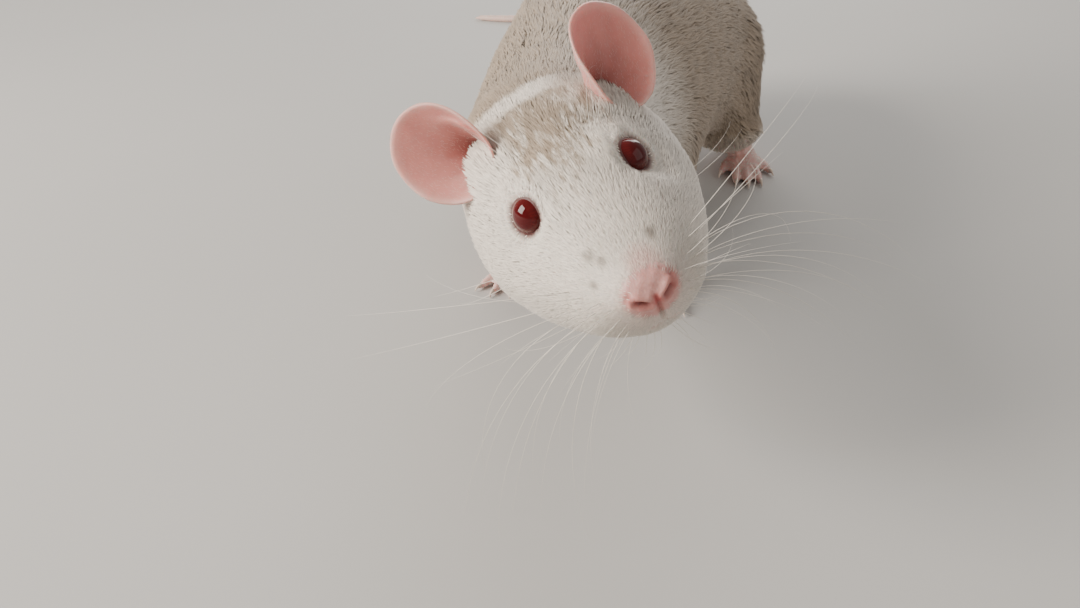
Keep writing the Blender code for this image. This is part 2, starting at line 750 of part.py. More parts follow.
def make_forelegs():
    """Each foreleg is the arm, from shoulder to wrist, and the paw with its four fingers."""
    ground = standing_frame(SHOULDER_ALONG)
    for name, side in SIDES.items():
        ahead = PAW_ADVANCE[name]
        elbow = ELBOW - Vector((0.0, ahead * 0.2, 0.0))
        wrist = WRIST - Vector((0.0, ahead, 0.0))
        upper = [SHOULDER, (SHOULDER + elbow) / 2 + Vector((1.5, 1.5, 0.0)), elbow]
        lower = [elbow + Vector((0.0, 1.0, -2.0)), (elbow + wrist) / 2 + Vector((0.8, 0.6, -1.6)), wrist]
        upper_path = smooth_path([ground @ mirrored(joint, side) for joint in upper], 6)
        lower_path = smooth_path([ground @ mirrored(joint, side) for joint in lower], 7)
        arm = tube(f"foreleg_{name}", upper_path, UPPER_ARM_RADII, 16)
        forearm = tube("forearm", lower_path, FOREARM_RADII, 14)
        combine(arm, [forearm], "UNION")
        soften(arm, 1.2, 5, 620)
        combine(arm, [loft("clearance", trunk_rings(60, 176, GAP))], "DIFFERENCE")
        wrist_end, direction = lower_path[-1], lower_path[-1] - lower_path[-2]
        combine(arm, [wrist_cutter(wrist_end, direction)], "DIFFERENCE")
        dress(arm, "fur_white")
        make_paw(name, wrist_end, direction, ground, side)


def wrist_cutter(wrist, direction):
    """A block whose face is the flat cut between forearm and paw."""
    mesh = bmesh.new()
    bmesh.ops.create_cube(mesh, size=12 * MM)
    block = finished("cut", mesh)
    block.data.transform(in_metres(facing(wrist + direction.normalized() * 5.4, direction)))
    return block


def make_paw(name, wrist, direction, ground, side):
    """The forepaw, flat on the floor below the wrist: palm, four fingers and their claws."""
    start = wrist + direction.normalized() * GAP
    turn = ground.to_3x3()
    forward = turn @ Vector((side * 0.08, -1.0, 0.0)).normalized()
    sideways = turn @ Vector((side, 0.08, 0.0)).normalized()
    palm_end = start + forward * PALM_LENGTH
    palm_end.z = 1.3
    middle = start + forward * PALM_LENGTH / 2
    middle.z = 2.6
    path = smooth_path([start, middle, palm_end], len(PALM_HALF_WIDTHS))
    rings = []
    for k, point in enumerate(path):
        ahead = direction if k == 0 else path[min(k + 1, len(path) - 1)] - path[k - 1]
        wide, high = PALM_HALF_WIDTHS[k], PALM_HALF_HEIGHTS[k]
        rings.append(oval(facing(point, ahead), wide, high, high, 16, 2.2, 2.2))
    paw = loft(f"forepaw_{name}", rings)
    base = math.atan2(forward.x, -forward.y)
    pieces = []
    for k, finger in enumerate(FINGERS):
        root = palm_end - forward * 2.6 + sideways * finger.across
        root.z = 1.2
        heading = base + side * math.radians(finger.splay)
        pieces += digit(f"finger_{k}", root, heading, finger.length, FINGER_RADIUS, FINGER_CLAW)
    combine(paw, pieces, "UNION")
    combine(paw, [floor_cutter()], "DIFFERENCE")
    dress(paw, "foot_skin")


def make_hindlegs():
    """Each hind leg is the haunch, with thigh and shank, and the long foot with its five toes."""
    ground = standing_frame(HIP_ALONG)
    for name, side in SIDES.items():
        thigh_path = smooth_path([ground @ mirrored(joint, side) for joint in THIGH], len(THIGH_RADII))
        shank_path = smooth_path([ground @ mirrored(joint, side) for joint in SHANK], len(SHANK_RADII))
        haunch = tube(f"haunch_{name}", thigh_path, THIGH_RADII, 20)
        combine(haunch, [tube("shank", shank_path, SHANK_RADII, 14)], "UNION")
        soften(haunch, 1.3, 8, 900)
        combine(haunch, [loft("clearance", trunk_rings(0, 120, GAP))], "DIFFERENCE")
        combine(haunch, [make_hind_foot(name, ground, side)], "DIFFERENCE")
        combine(haunch, [floor_cutter()], "DIFFERENCE")
        dress(haunch, "fur_beige")


def hind_foot_body(name, ground, side, grow):
    """The sole, instep and heel as one closed form, grown outwards by grow."""
    toe_out = math.radians(side * HIND_TOE_OUT)
    heel = ground @ mirrored(HEEL, side)
    forward = ground.to_3x3() @ Vector((math.sin(toe_out), -math.cos(toe_out), 0.0))
    steps = 10
    rings = []
    for k in range(steps + 1):
        at = SOLE_PLACES[-1] * k / steps
        wide = eased(SOLE_PLACES, SOLE_HALF_WIDTHS, at) + grow
        high = eased(SOLE_PLACES, SOLE_HALF_HEIGHTS, at) + grow
        point = heel + forward * (at + (-grow if k == 0 else 0.0))
        point.z = high * 0.8
        rings.append(oval(facing(point, forward), wide, high, high, 14, 2.2, 2.2))
    return loft(name, rings), heel, forward


def make_hind_foot(name, ground, side):
    """Makes the hind foot, and gives the clearance that the shank is cut to."""
    foot, heel, forward = hind_foot_body(f"hindfoot_{name}", ground, side, 0.0)
    sideways = forward.cross(Vector((0.0, 0.0, 1.0))) * -side
    base = math.atan2(forward.x, -forward.y)
    pieces = []
    toe_root = SOLE_PLACES[-1] - 4.0
    for k, toe in enumerate(TOES):
        root = heel + forward * (toe_root + toe.ahead) + sideways * toe.across
        root.z = 1.5
        heading = base + side * math.radians(toe.splay)
        pieces += digit(f"toe_{k}", root, heading, toe.length, TOE_RADIUS, TOE_CLAW)
    combine(foot, pieces, "UNION")
    combine(foot, [floor_cutter()], "DIFFERENCE")
    dress(foot, "foot_skin")
    clearance, _, _ = hind_foot_body("foot_clearance", ground, side, GAP)
    return clearance


def main():
    clear_scene()
    make_trunk()
    make_head()
    make_ears()
    make_tail()
    make_forelegs()
    make_hindlegs()
    to_centre = Matrix.Translation(-FOOTPRINT_CENTRE * MM)
    for thing in bpy.data.objects:
        thing.data.transform(to_centre)


main()
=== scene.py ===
"""A life-size dumbo rat with ruby eyes, standing on a pale floor with its head cocked at the camera.

Skin, coat, ears, eyes, whiskers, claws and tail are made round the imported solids, in metres, +Z up.
The head's own frame has x to the rat's left, -y to the nose and z to the crown. Lengths in it are in
millimetres, and MM turns them into metres.
"""

import math

import bpy
import numpy as np
from mathutils import Matrix, Vector
from mathutils.kdtree import KDTree


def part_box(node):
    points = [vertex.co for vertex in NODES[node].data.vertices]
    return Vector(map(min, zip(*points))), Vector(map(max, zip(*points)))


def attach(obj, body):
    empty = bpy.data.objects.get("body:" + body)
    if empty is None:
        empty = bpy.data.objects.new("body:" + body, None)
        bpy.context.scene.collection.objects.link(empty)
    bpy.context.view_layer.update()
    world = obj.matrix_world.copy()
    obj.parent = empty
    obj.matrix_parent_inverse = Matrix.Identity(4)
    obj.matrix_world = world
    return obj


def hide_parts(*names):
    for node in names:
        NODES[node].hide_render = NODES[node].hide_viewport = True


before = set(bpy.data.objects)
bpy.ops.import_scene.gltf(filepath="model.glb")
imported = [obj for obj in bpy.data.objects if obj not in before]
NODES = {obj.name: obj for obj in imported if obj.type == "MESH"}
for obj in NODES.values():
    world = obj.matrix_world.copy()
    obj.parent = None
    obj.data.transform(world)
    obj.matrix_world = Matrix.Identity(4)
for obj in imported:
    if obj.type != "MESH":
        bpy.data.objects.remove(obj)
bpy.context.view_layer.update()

MM = 0.001
SIDES = {"left": 1, "right": -1}
FURRED = ["head", "neck", "chest", "belly", "rump"]
FURRED += [f"{part}_{side}" for part in ("foreleg", "haunch") for side in SIDES]
PAWS = [f"{part}_{side}" for part in ("forepaw", "hindfoot") for side in SIDES]
TAIL = [f"tail_{k}" for k in range(1, 5)]

# The head's frame, its origin midway between the eyes, as the solids have it.
HEAD_PITCH = math.radians(5.0)
HEAD_TILT = math.radians(24.0)
EYE_RADIUS = 3.2
EYE_CENTRE = Vector((8.2, 0.2, 0.35))
EYE_FACING = Vector((0.71, -0.52, 0.48))
EYE_OPENING = (2.85, 2.65)  # half its length towards the nose, and half its height
EAR_CENTRE = Vector((15.8, 15.3, 8.8))
EAR_OPENING = {"left": Vector((0.50, -0.76, 0.42)), "right": Vector((0.36, -0.80, 0.46))}
EAR_LEAN = {"left": 20.0, "right": 40.0}
EAR_FOOT = (7.5, 0.5)  # the foot of an ear's cup, down and out from the middle of its rim
EAR_FOOT_REACH = 3.2
NOSE_TIP = Vector((0.0, -24.0, -6.0))

# The camera, placed round the head: azimuth from straight ahead, height, distance, roll, then its aim.
CAMERA_AZIMUTH = math.radians(-6.31)
CAMERA_ELEVATION = math.radians(33.0)
CAMERA_DISTANCE = 159.5
CAMERA_ROLL = math.radians(-26.48)
CAMERA_SWING = math.radians(-2.24)
CAMERA_DIP = math.radians(6.26)
CAMERA_LENS = 35.0
CAMERA_SENSOR = 36.0
CAMERA_NEAREST = 0.005  # metres

SKIN_CELL = 0.5
SKIN_SWELL = 0.3  # the solids swell so much before they are made one skin, which closes the cuts
SKIN_KEPT = 0.24  # the share of the skin's faces that is kept, fewest on the trunk
EAR_ROOT = (6.6, 2.6, 7.2)  # from the middle of an ear's rim down, in and back
EAR_ROOT_RADIUS = 3.7
LID_FLESH = 0.2  # over the eyeball
TAIL_FLESH = (4, 10, 16, 22)  # points of the tail's path with flesh round them
TAIL_FLESH_RADIUS = (5.4, 0.07)  # at the path's start, and how much less at each point
COAT_SEED = 7
COAT_LIMIT = 19500  # tufts in one piece
HEAD_CLUMPS = (0.9, 0.35)  # the size of clumps of tips, and how strongly they draw together
BODY_CLUMPS = (2.0, 0.45)
LEAST_DEPTH = 0.2  # of the coat, where it has any
FACE_COAT_ENDS = (19.0, 23.0)  # behind the eyes
BODY_COAT_STARTS = (18.0, 22.0)
TRUNK_STARTS = (14, 30)
TUFT_PATCH = 0.003  # the side of a tuft's patch on the unwrap
TUFT_SHADE = 0.24  # how far a tuft's shading turns from the skin's to its own
QUICK_SHARE = 1.0

# The coat's depth and its tufts' lengths and widths, by how far behind the eyes they are.
COAT_DEPTHS = [(-24, 0.2), (-19, 0.35), (-12, 0.6), (0, 0.9), (12, 1.15), (26, 1.7), (45, 2.3)]
FACE_LENGTHS = [(-24, 0.6), (-18, 1.1), (-8, 1.9), (6, 3.0), (20, 4.2)]
FACE_WIDTHS = [(-24, 0.09), (-12, 0.125), (6, 0.17), (20, 0.22)]
BODY_LENGTHS = [(20, 4.2), (40, 6.4), (70, 8.2)]
BODY_WIDTHS = [(20, 0.27), (40, 0.36), (70, 0.50)]

# The shares of depth and length that are left near the floor, by how high over it they are.
LOW_DEPTHS = [(4, 0.4), (20, 0.65), (34, 1.0)]
LOW_LENGTHS = [(4, 0.34), (22, 0.6), (36, 1.0)]

WHITE_FUR = (0.87, 0.79, 0.70)
BEIGE_FUR = (0.42, 0.325, 0.24)
SMUDGE_GREY = (0.27, 0.225, 0.19)
THIN_FUR_PINK = (0.76, 0.46, 0.41)
# Painted shade down the lip's split, partly skin where the fur parts.
LIP_SPLIT_SHADE = (0.50, 0.31, 0.27)
SKIN_PINK = (0.80, 0.56, 0.50)
PAD_PINKS = ((0.50, 0.21, 0.19), (0.72, 0.42, 0.38))
PAW_PINKS = ((0.70, 0.40, 0.36), (0.86, 0.60, 0.55))
TAIL_PINKS = ((0.66, 0.45, 0.39), (0.80, 0.62, 0.55))
NOSTRIL_RED = (0.36, 0.07, 0.06)
# Painted shadow: near black in the nostrils' pits, standing in for the shade inside the openings.
NOSTRIL_SHADOW = (0.05, 0.006, 0.006)
LIP_TOP_RED = (0.50, 0.035, 0.04)
LID_DARK = (0.11, 0.035, 0.032)
EAR_PINK = (0.66, 0.29, 0.255)
# Darker red into the ear's canal: partly redder skin, partly painted shade in the recess.
EAR_CANAL_SHADE_RED = (0.30, 0.055, 0.045)
EAR_RIM_PINK = (0.82, 0.56, 0.50)
IRIS_REDS = ((0.045, 0.003, 0.003), (0.13, 0.007, 0.007))
PUPIL_RED = (0.075, 0.002, 0.003)
EYE_SHADOW = (0.02, 0.002, 0.003)
WHISKER_CREAM = (0.86, 0.80, 0.72)
TAIL_HAIR_CREAM = (0.82, 0.74, 0.64)
CLAW_HORN = (0.80, 0.66, 0.56)
FLOOR_GREY = (0.56, 0.55, 0.535)


def deselect():
    if bpy.context.object and bpy.context.object.mode != "OBJECT":
        bpy.ops.object.mode_set(mode="OBJECT")
    bpy.ops.object.select_all(action="DESELECT")


def pick(*things):
    """Selects only the things, the first of them active."""
    deselect()
    for thing in things:
        thing.select_set(True)
    bpy.context.view_layer.objects.active = things[0]


def modify(thing, kind, **settings):
    """Adds a modifier with the given settings and applies it."""
    pick(thing)
    change = thing.modifiers.new(kind.lower(), kind)
    for name, value in settings.items():
        setattr(change, name, value)
    bpy.ops.object.modifier_apply(modifier=change.name)
    return thing


def edit_all(thing, operation, **settings):
    """Runs an operator of edit mode on the whole of a thing."""
    pick(thing)
    bpy.ops.object.mode_set(mode="EDIT")
    bpy.ops.mesh.select_all(action="SELECT")
    operation(**settings)
    bpy.ops.object.mode_set(mode="OBJECT")


def linked(mesh):
    """The mesh as an object of the scene."""
    thing = bpy.data.objects.new(mesh.name, mesh)
    bpy.context.scene.collection.objects.link(thing)
    return thing


def copied(name, nodes):
    """One object of merged copies of solids, each closed as before."""
    parts = []
    for node in nodes:
        part = bpy.data.objects.new(node, NODES[node].data.copy())
        bpy.context.scene.collection.objects.link(part)
        part.data.materials.clear()
        parts.append(part)
    pick(*parts)
    bpy.ops.object.join()
    whole = bpy.context.object
    whole.name = name
    edit_all(whole, bpy.ops.mesh.remove_doubles, threshold=1e-6)
    return whole


def coordinates(thing):
    places = np.zeros(len(thing.data.vertices) * 3, np.float32)
    thing.data.vertices.foreach_get("co", places)
    return places.reshape(-1, 3).astype(float)


def normals(thing):
    out = np.zeros(len(thing.data.vertices) * 3, np.float32)
    thing.data.vertices.foreach_get("normal", out)
    return out.reshape(-1, 3).astype(float)


def set_coordinates(thing, places):
    thing.data.vertices.foreach_set("co", np.asarray(places, np.float32).ravel())
    thing.data.update()


def mark(thing, name, values):
    """Keeps a value for each point of a piece, for its material to read."""
    layer = thing.data.attributes.new(name, "FLOAT", "POINT")
    layer.data.foreach_set("value", np.asarray(values, np.float32))


def unit(vectors):
    return vectors / np.maximum(np.linalg.norm(vectors, axis=-1, keepdims=True), 1e-12)


def smoothstep(low, high, value):
    share = np.clip((value - low) / (high - low), 0.0, 1.0)
    return share * share * (3 - 2 * share)


def read_off(table, value):
    """The table's second column where its first has the value, straight between its rows."""
    return np.interp(value, *zip(*table))


def bell(distance, width):
    """1 at no distance, fading to 0 within about twice the width."""
    return np.exp(-((distance / width) ** 2))


def box_middle(node):
    low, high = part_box(node)
    return (low + high) / 2


def head_frame():
    """The head's frame: where the eyes of the solids are, turned as the head is. Millimetres to metres."""
    turn = Matrix.Rotation(HEAD_PITCH, 4, "X") @ Matrix.Rotation(-HEAD_TILT, 4, "Y")
    between = (box_middle("eye_left") + box_middle("eye_right")) / 2
    place = between - turn @ (Vector((0.0, EYE_CENTRE.y, EYE_CENTRE.z)) * MM)
    return Matrix.Translation(place) @ turn @ Matrix.Scale(MM, 4)


HEAD = head_frame()
TO_HEAD = np.array(HEAD.inverted())
HEAD_TURN = HEAD.to_3x3().normalized()


def in_head(places):
    """Places in metres, as the head's frame sees them, in millimetres."""
    return places @ TO_HEAD[:3, :3].T + TO_HEAD[:3, 3]


def mirrored(vector, side):
    return Vector((side * vector.x, vector.y, vector.z))


def outside(node, places):
    """How far places are outside a node's box, in millimetres."""
    low, high = (np.array(corner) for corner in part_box(node))
    return np.linalg.norm(np.maximum(np.maximum(low - places, places - high), 0.0), axis=1) / MM


def folded(head_places):
    """Both halves of the head laid on its left one."""
    return np.stack([np.abs(head_places[:, 0]), head_places[:, 1], head_places[:, 2]], 1)


def eye_distance(head_places):
    """The distance to the nearer eye's centre."""
    return np.linalg.norm(folded(head_places) - np.array(EYE_CENTRE), axis=1)


def eye_opening(head_places):
    """Below 1 in front of the open eye, 1 on the lids' rims, more beyond them."""
    facing = EYE_FACING.normalized()
    along = NOSE_TIP - EYE_CENTRE
    along = (along - facing * along.dot(facing)).normalized()
    above = np.array(along.cross(facing))
    above *= np.sign(above[2])
    away = unit(folded(head_places) - np.array(EYE_CENTRE))
    across, height = away @ np.array(along) * EYE_RADIUS, away @ above * EYE_RADIUS
    reach = (np.abs(across) / EYE_OPENING[0]) ** 2.0 + (np.abs(height) / EYE_OPENING[1]) ** 1.6
    reach += 9.0 * smoothstep(4.3, 5.3, eye_distance(head_places))
    return np.where(away @ np.array(facing) > 0, reach, 9.0)


def nose_pad(head_places):
    """Below 1 on the nose's bare pad, more beyond it."""
    return np.linalg.norm((folded(head_places) - [0.0, -23.7, -5.3]) / [4.1, 4.2, 3.3], axis=1)


def ear_axes(name):
    """The middle of an ear's rim, then the ways to its tip and out of its cup, in the head's frame."""
    side = SIDES[name]
    opening = mirrored(EAR_OPENING[name], side).normalized()
    lean = math.radians(EAR_LEAN[name])
    tip = Vector((side * math.sin(lean), 0.0, math.cos(lean)))
    tip = (tip - opening * tip.dot(opening)).normalized()
    return np.array(mirrored(EAR_CENTRE, side)), np.array(tip), np.array(opening)


def ear_foot(name):
    """The place in front of the foot of an ear's cup, in the head's frame."""
    middle, tip, opening = ear_axes(name)
    return middle - tip * EAR_FOOT[0] + opening * EAR_FOOT[1]


def ear_base(head_places):
    """1 at the foot of each ear's cup, fading to 0 around it."""
    near = np.zeros(len(head_places))
    for name in SIDES:
        away = np.linalg.norm(head_places - ear_foot(name), axis=1)
        near = np.maximum(near, bell(away, EAR_FOOT_REACH))
    return near


def bareness(places):
    """1 on the paws, fading to 0 up the legs."""
    nearest = np.min([outside(node, places) for node in PAWS], axis=0)
    return 1 - smoothstep(0.5, 7.0, nearest)


def coat_depth(places):
    """How deep the coat is, from the skin out to the hairs' tips, in millimetres."""
    head = in_head(places)
    open_face = smoothstep(4.3, 8.5, eye_distance(head))
    near_nose = smoothstep(1.0, 2.4, nose_pad(head))
    depth = read_off(COAT_DEPTHS, head[:, 1]) * (0.12 + 0.88 * open_face) * near_nose
    depth += np.where(head[:, 0] > 0, -0.25, 0.5) * ear_base(head)
    depth *= read_off(LOW_DEPTHS, places[:, 2] / MM)
    return depth * (1 - 0.97 * bareness(places))


def make_skin(tail_path):
    """One skin over head, trunk, legs and paws, without the solids' cuts, as deep as the coat inside them."""
    skin = copied("skin", FURRED + PAWS)
    add_flesh(skin, tail_path)
    modify(skin, "DISPLACE", strength=SKIN_SWELL * MM, mid_level=0.0)
    modify(skin, "REMESH", mode="VOXEL", voxel_size=SKIN_CELL * MM)
    modify(skin, "SMOOTH", factor=0.5, iterations=3)
    places = coordinates(skin)
    head = in_head(places)
    trunk = smoothstep(*TRUNK_STARTS, head[:, 1]) * (1 - bareness(places))
    group = skin.vertex_groups.new(name="coarse")
    for k, weight in enumerate(np.round(trunk, 2)):
        if weight > 0:
            group.add([k], float(weight), "REPLACE")
    modify(skin, "DECIMATE", ratio=SKIN_KEPT, vertex_group="coarse", vertex_group_factor=8.0,
           use_collapse_triangulate=True)
    modify(skin, "SMOOTH", factor=0.5, iterations=14, vertex_group="coarse")
    places = coordinates(skin)
    set_coordinates(skin, places - normals(skin) * (coat_depth(places) + SKIN_SWELL)[:, None] * MM)
    cut_finer(skin)
    shape_lids(skin)
    shape_nose(skin)
    skin.vertex_groups.clear()
    pick(skin)
    bpy.ops.object.shade_smooth()
    return skin


def add_flesh(skin, tail_path):
    """Joins on the flesh behind the ears' cups, the lids' flesh over the eyeballs and the tail's root."""
    balls = []
    for name, side in SIDES.items():
        middle, tip, opening = ear_axes(name)
        outward = np.cross(tip, opening) * side
        down, inward, back = EAR_ROOT
        root = Vector(middle - tip * down - outward * inward - opening * back)
        balls += [(HEAD @ root, EAR_ROOT_RADIUS), (box_middle(f"eye_{name}"), EYE_RADIUS + LID_FLESH)]
    first, less = TAIL_FLESH_RADIUS
    balls += [(tail_path[k], first - less * k) for k in TAIL_FLESH]
    made = []
    for place, radius in balls:
        deselect()
        bpy.ops.mesh.primitive_uv_sphere_add(segments=32, ring_count=20, radius=radius * MM, location=place)
        made.append(bpy.context.object)
    pick(skin, *made)
    bpy.ops.object.join()


def path_distance(places, path):
    """The distance from each place to the nearest leg of a path."""
    best = np.full(len(places), 1e9)
    for start, end in zip(path, path[1:]):
        start, leg = np.array(start), np.array(end) - np.array(start)
        share = np.clip(((places - start) @ leg) / (leg @ leg), 0, 1)
        best = np.minimum(best, np.linalg.norm(places - start - share[:, None] * leg, axis=1))
    return best


# Lines on the nose and mouth, those in pairs on the left, in the head's frame.
NOSTRIL = [(1.5, -24.3, -6.2), (2.2, -24.1, -5.9), (2.8, -23.6, -5.4)]
NOSTRIL_WING = [(2.6, -23.7, -5.6), (3.4, -22.7, -4.5)]
NOSTRIL_PIT = [(1.7, -24.3, -6.1), (2.5, -23.9, -5.6)]
LIP_TOP = [(0.0, -24.5, -5.5), (0.0, -24.4, -6.3)]
LIP_SPLIT = [(0.0, -24.4, -5.6), (0.0, -24.0, -8.0), (0.0, -22.6, -11.8)]
MOUTH = [(0.0, -22.4, -12.2), (1.6, -21.6, -12.4), (3.6, -19.4, -12.2), (5.2, -16.0, -11.6)]
PAD_CREASE = [(0.0, -24.6, -4.6), (0.2, -23.2, -2.6)]
PAD_BRIDGE = [(0.3, -23.6, -4.0), (1.2, -18.8, -0.6)]

# How high the skin rises along a line, the distance from it at which it does, and the width.
NOSE_FORMS = [
    (NOSTRIL, -0.45, 0.0, 0.42),
    (NOSTRIL, 0.30, 1.0, 0.45),
    (NOSTRIL_WING, -0.25, 0.0, 0.5),
    (NOSTRIL_PIT, -1.3, 0.0, 0.5),
    (LIP_SPLIT, -0.75, 0.0, 0.42),
    (MOUTH, -0.55, 0.0, 0.5),
]

# How red the skin is along a line, and how wide the red is.
NOSE_REDS = [
    (NOSTRIL, 1.0, 0.8),
    (NOSTRIL_WING, 0.6, 0.9),
    (LIP_SPLIT, 0.85, 0.5),
    (MOUTH, 0.85, 0.5),
]


def cut_finer(skin):
    """Cuts the skin finer on the nose and round the eyes."""
    head = in_head(coordinates(skin))
    near = (np.linalg.norm(head - np.array(NOSE_TIP), axis=1) < 7.5) | (eye_distance(head) < 5.2)
    pick(skin)
    bpy.ops.object.mode_set(mode="EDIT")
    bpy.ops.mesh.select_mode(type="VERT")
    bpy.ops.mesh.select_all(action="DESELECT")
    bpy.ops.object.mode_set(mode="OBJECT")
    skin.data.vertices.foreach_set("select", near)
    bpy.ops.object.mode_set(mode="EDIT")
    bpy.ops.mesh.subdivide(number_cuts=1, smoothness=0.6)
    bpy.ops.object.mode_set(mode="OBJECT")
    edit_all(skin, bpy.ops.mesh.quads_convert_to_tris)


EYE_SINK = 0.25  # how far the skin stays behind the open eye's surface
LID_RISE = 0.47  # how far the lids stand out from there


def shape_lids(skin):
    """Closes the lids over the eyeballs as far as the open eye's outline."""
    places = coordinates(skin)
    head = in_head(places)
    opening = eye_opening(head)
    for side in SIDES.values():
        centre = np.array(HEAD @ mirrored(EYE_CENTRE, side))
        away = places - centre
        reach = np.linalg.norm(away, axis=1) / MM
        near = (reach < EYE_RADIUS + 1.6) & (opening < 3.0)
        lid = EYE_RADIUS - EYE_SINK + LID_RISE * smoothstep(0.82, 1.18, opening)
        beyond = smoothstep(1.9, 2.8, opening)
        lid = lid * (1 - beyond) + reach * beyond
        wanted = np.where(opening < 1.18, lid, np.maximum(lid, reach))
        places[near] = centre + away[near] * (wanted[near] / reach[near])[:, None]
    set_coordinates(skin, places)


def shape_nose(skin):
    """Presses in the nostrils, the split of the lip and the pad's crease, and marks where they are red and
    where the nostrils' pits get painted shadow.
    """
    places = coordinates(skin)
    head = in_head(places)
    half = folded(head)
    rise = -0.30 * bell(path_distance(head, PAD_CREASE), 0.5)
    rise += 0.10 * wave(head, 2.2, 12) * (nose_pad(head) < 1.2)
    for line, height, away, width in NOSE_FORMS:
        rise += height * bell(path_distance(half, line) - away, width)
    front = head[:, 1] < -15
    red = np.max([share * bell(path_distance(half, line), width) for line, share, width in NOSE_REDS], axis=0)
    mark(skin, "lip_top", bell(path_distance(half, LIP_TOP), 0.6) * front)
    mark(skin, "nostril", red * front)
    # The nostrils' pits, which the skin's material darkens as painted shadow.
    mark(skin, "pit_shadow", bell(path_distance(half, NOSTRIL_PIT), 0.42) * front)
    set_coordinates(skin, places + normals(skin) * (rise * front)[:, None] * MM)


def mark_skin(skin):
    """Marks the nose's pad, the lids and the paws."""
    places = coordinates(skin)
    head = in_head(places)
    front = head[:, 1] < -17
    pad = 1 - smoothstep(0.95, 1.45, nose_pad(head))
    mark(skin, "pad", np.maximum(pad, 0.6 * bell(path_distance(head, PAD_BRIDGE), 1.7)) * front)
    mark(skin, "lid", (1 - smoothstep(1.08, 1.26, eye_opening(head))) * (eye_distance(head) < 4.4))
    mark(skin, "paw", bareness(places))


def unwrapped(thing):
    """Gives a piece the unwrap that its hairs' patches follow."""
    while thing.data.uv_layers:
        thing.data.uv_layers.remove(thing.data.uv_layers[0])
    thing.data.uv_layers.new(name="OFBake")
    edit_all(thing, bpy.ops.uv.smart_project, angle_limit=math.radians(66), island_margin=0.002)


class Ground:
    """The skin as arrays of triangles, to scatter roots on."""

    def __init__(self, thing):
        mesh = thing.data
        mesh.calc_loop_triangles()
        count = len(mesh.loop_triangles)
        corners, loops = np.zeros(count * 3, np.int32), np.zeros(count * 3, np.int32)
        mesh.loop_triangles.foreach_get("vertices", corners)
        mesh.loop_triangles.foreach_get("loops", loops)
        uvs = np.zeros(len(mesh.loops) * 2, np.float32)
        mesh.uv_layers["OFBake"].data.foreach_get("uv", uvs)
        self.places = coordinates(thing)[corners.reshape(-1, 3)]
        self.normals = normals(thing)[corners.reshape(-1, 3)]
        self.uvs = uvs.reshape(-1, 2)[loops.reshape(-1, 3)]
        cross = np.cross(self.places[:, 1] - self.places[:, 0], self.places[:, 2] - self.places[:, 0])
        self.areas = np.linalg.norm(cross, axis=1) / 2 / MM**2
        self.middles = self.places.mean(1)

    def scatter(self, density, dice):
        """Roots at random, about density(places) of them on each square millimetre."""
        wanted = self.areas * density(self.middles)
        whole = np.floor(wanted + dice.random(len(wanted))).astype(int)
        chosen = np.repeat(np.arange(len(wanted)), whole)
        a, b = dice.random(len(chosen)), dice.random(len(chosen))
        flip = a + b > 1
        a[flip], b[flip] = 1 - a[flip], 1 - b[flip]
        shares = np.stack([1 - a - b, a, b], 1)[:, :, None]
        return Roots(
            (self.places[chosen] * shares).sum(1),
            unit((self.normals[chosen] * shares).sum(1)),
            (self.uvs[chosen] * shares).sum(1),
        )


class Roots:
    """Where tufts grow: places, normals and spots on the unwrap."""

    def __init__(self, places, out, spots):
        self.places, self.out, self.spots = places, out, spots

    def __len__(self):
        return len(self.places)

    def take(self, which):
        return Roots(self.places[which], self.out[which], self.spots[which])


def lie_guides():
    """Places in the body with the direction that the coat lies near them, and how far each one reaches."""
    spine = ["head", "neck", "chest", "belly", "rump", "tail_1"]
    middles = [np.array(box_middle(node)) for node in spine]
    guides = [(a, unit(b - a), 30 * MM) for a, b in zip(middles, middles[1:])]
    guides.append((middles[-2], unit(middles[-1] - middles[-2]) + [0, 0, -0.4], 20 * MM))
    for leg, paw in (("foreleg", "forepaw"), ("haunch", "hindfoot")):
        for side in SIDES:
            top, foot = np.array(box_middle(f"{leg}_{side}")), np.array(box_middle(f"{paw}_{side}"))
            guides.append((top, unit(foot - top), 10 * MM))
            guides.append(((top + foot) / 2, unit(foot - top) * 2.0, 8 * MM))
    return guides


LIE_SOURCE = [0.0, -27.0, -6.5]  # just before the nose, where the lie of the face's coat starts


def lie_of_coat(places):
    """The direction that hairs lie at each place, before it is laid along the skin."""
    total = np.zeros_like(places)
    for centre, direction, reach in lie_guides():
        weight = np.exp(-(((places - centre) ** 2).sum(1)) / (2 * reach**2)) + 1e-9
        total += weight[:, None] * np.asarray(direction)
    total = unit(total) + [0.0, 0.0, -0.22]
    head = in_head(places)
    turn = np.array(HEAD_TURN)
    radial = unit(head - LIE_SOURCE) @ turn.T
    share = 1 - smoothstep(*TRUNK_STARTS, head[:, 1])
    lie = total * (1 - share[:, None]) + radial * share[:, None]
    for name, side in SIDES.items():
        away = places - np.array(HEAD @ mirrored(EYE_CENTRE, side))
        reach = np.linalg.norm(away, axis=1) / MM
        facing = turn @ np.array(mirrored(EYE_FACING, side).normalized())
        around = away - np.outer(away @ facing, facing)
        lie += unit(around) * (1.5 * bell(reach - EYE_RADIUS, 1.9))[:, None]
        upright = (1.0 if side > 0 else 2.4) * ear_base(head) * (head[:, 0] * side > 0)
        lie += np.outer(upright, turn @ ear_axes(name)[1])
    return lie


def wave(places, size, seed):
    """A smooth wandering value between about -1 and 1. Its swells are size long, in the places' own unit."""
    dice = np.random.default_rng(seed)
    total = np.zeros(len(places))
    for _ in range(7):
        heading = unit(dice.normal(size=3)) * math.tau / size * dice.uniform(0.6, 1.5)
        total += np.sin(places @ heading + dice.uniform(0, math.tau))
    return total / 7 * 1.6


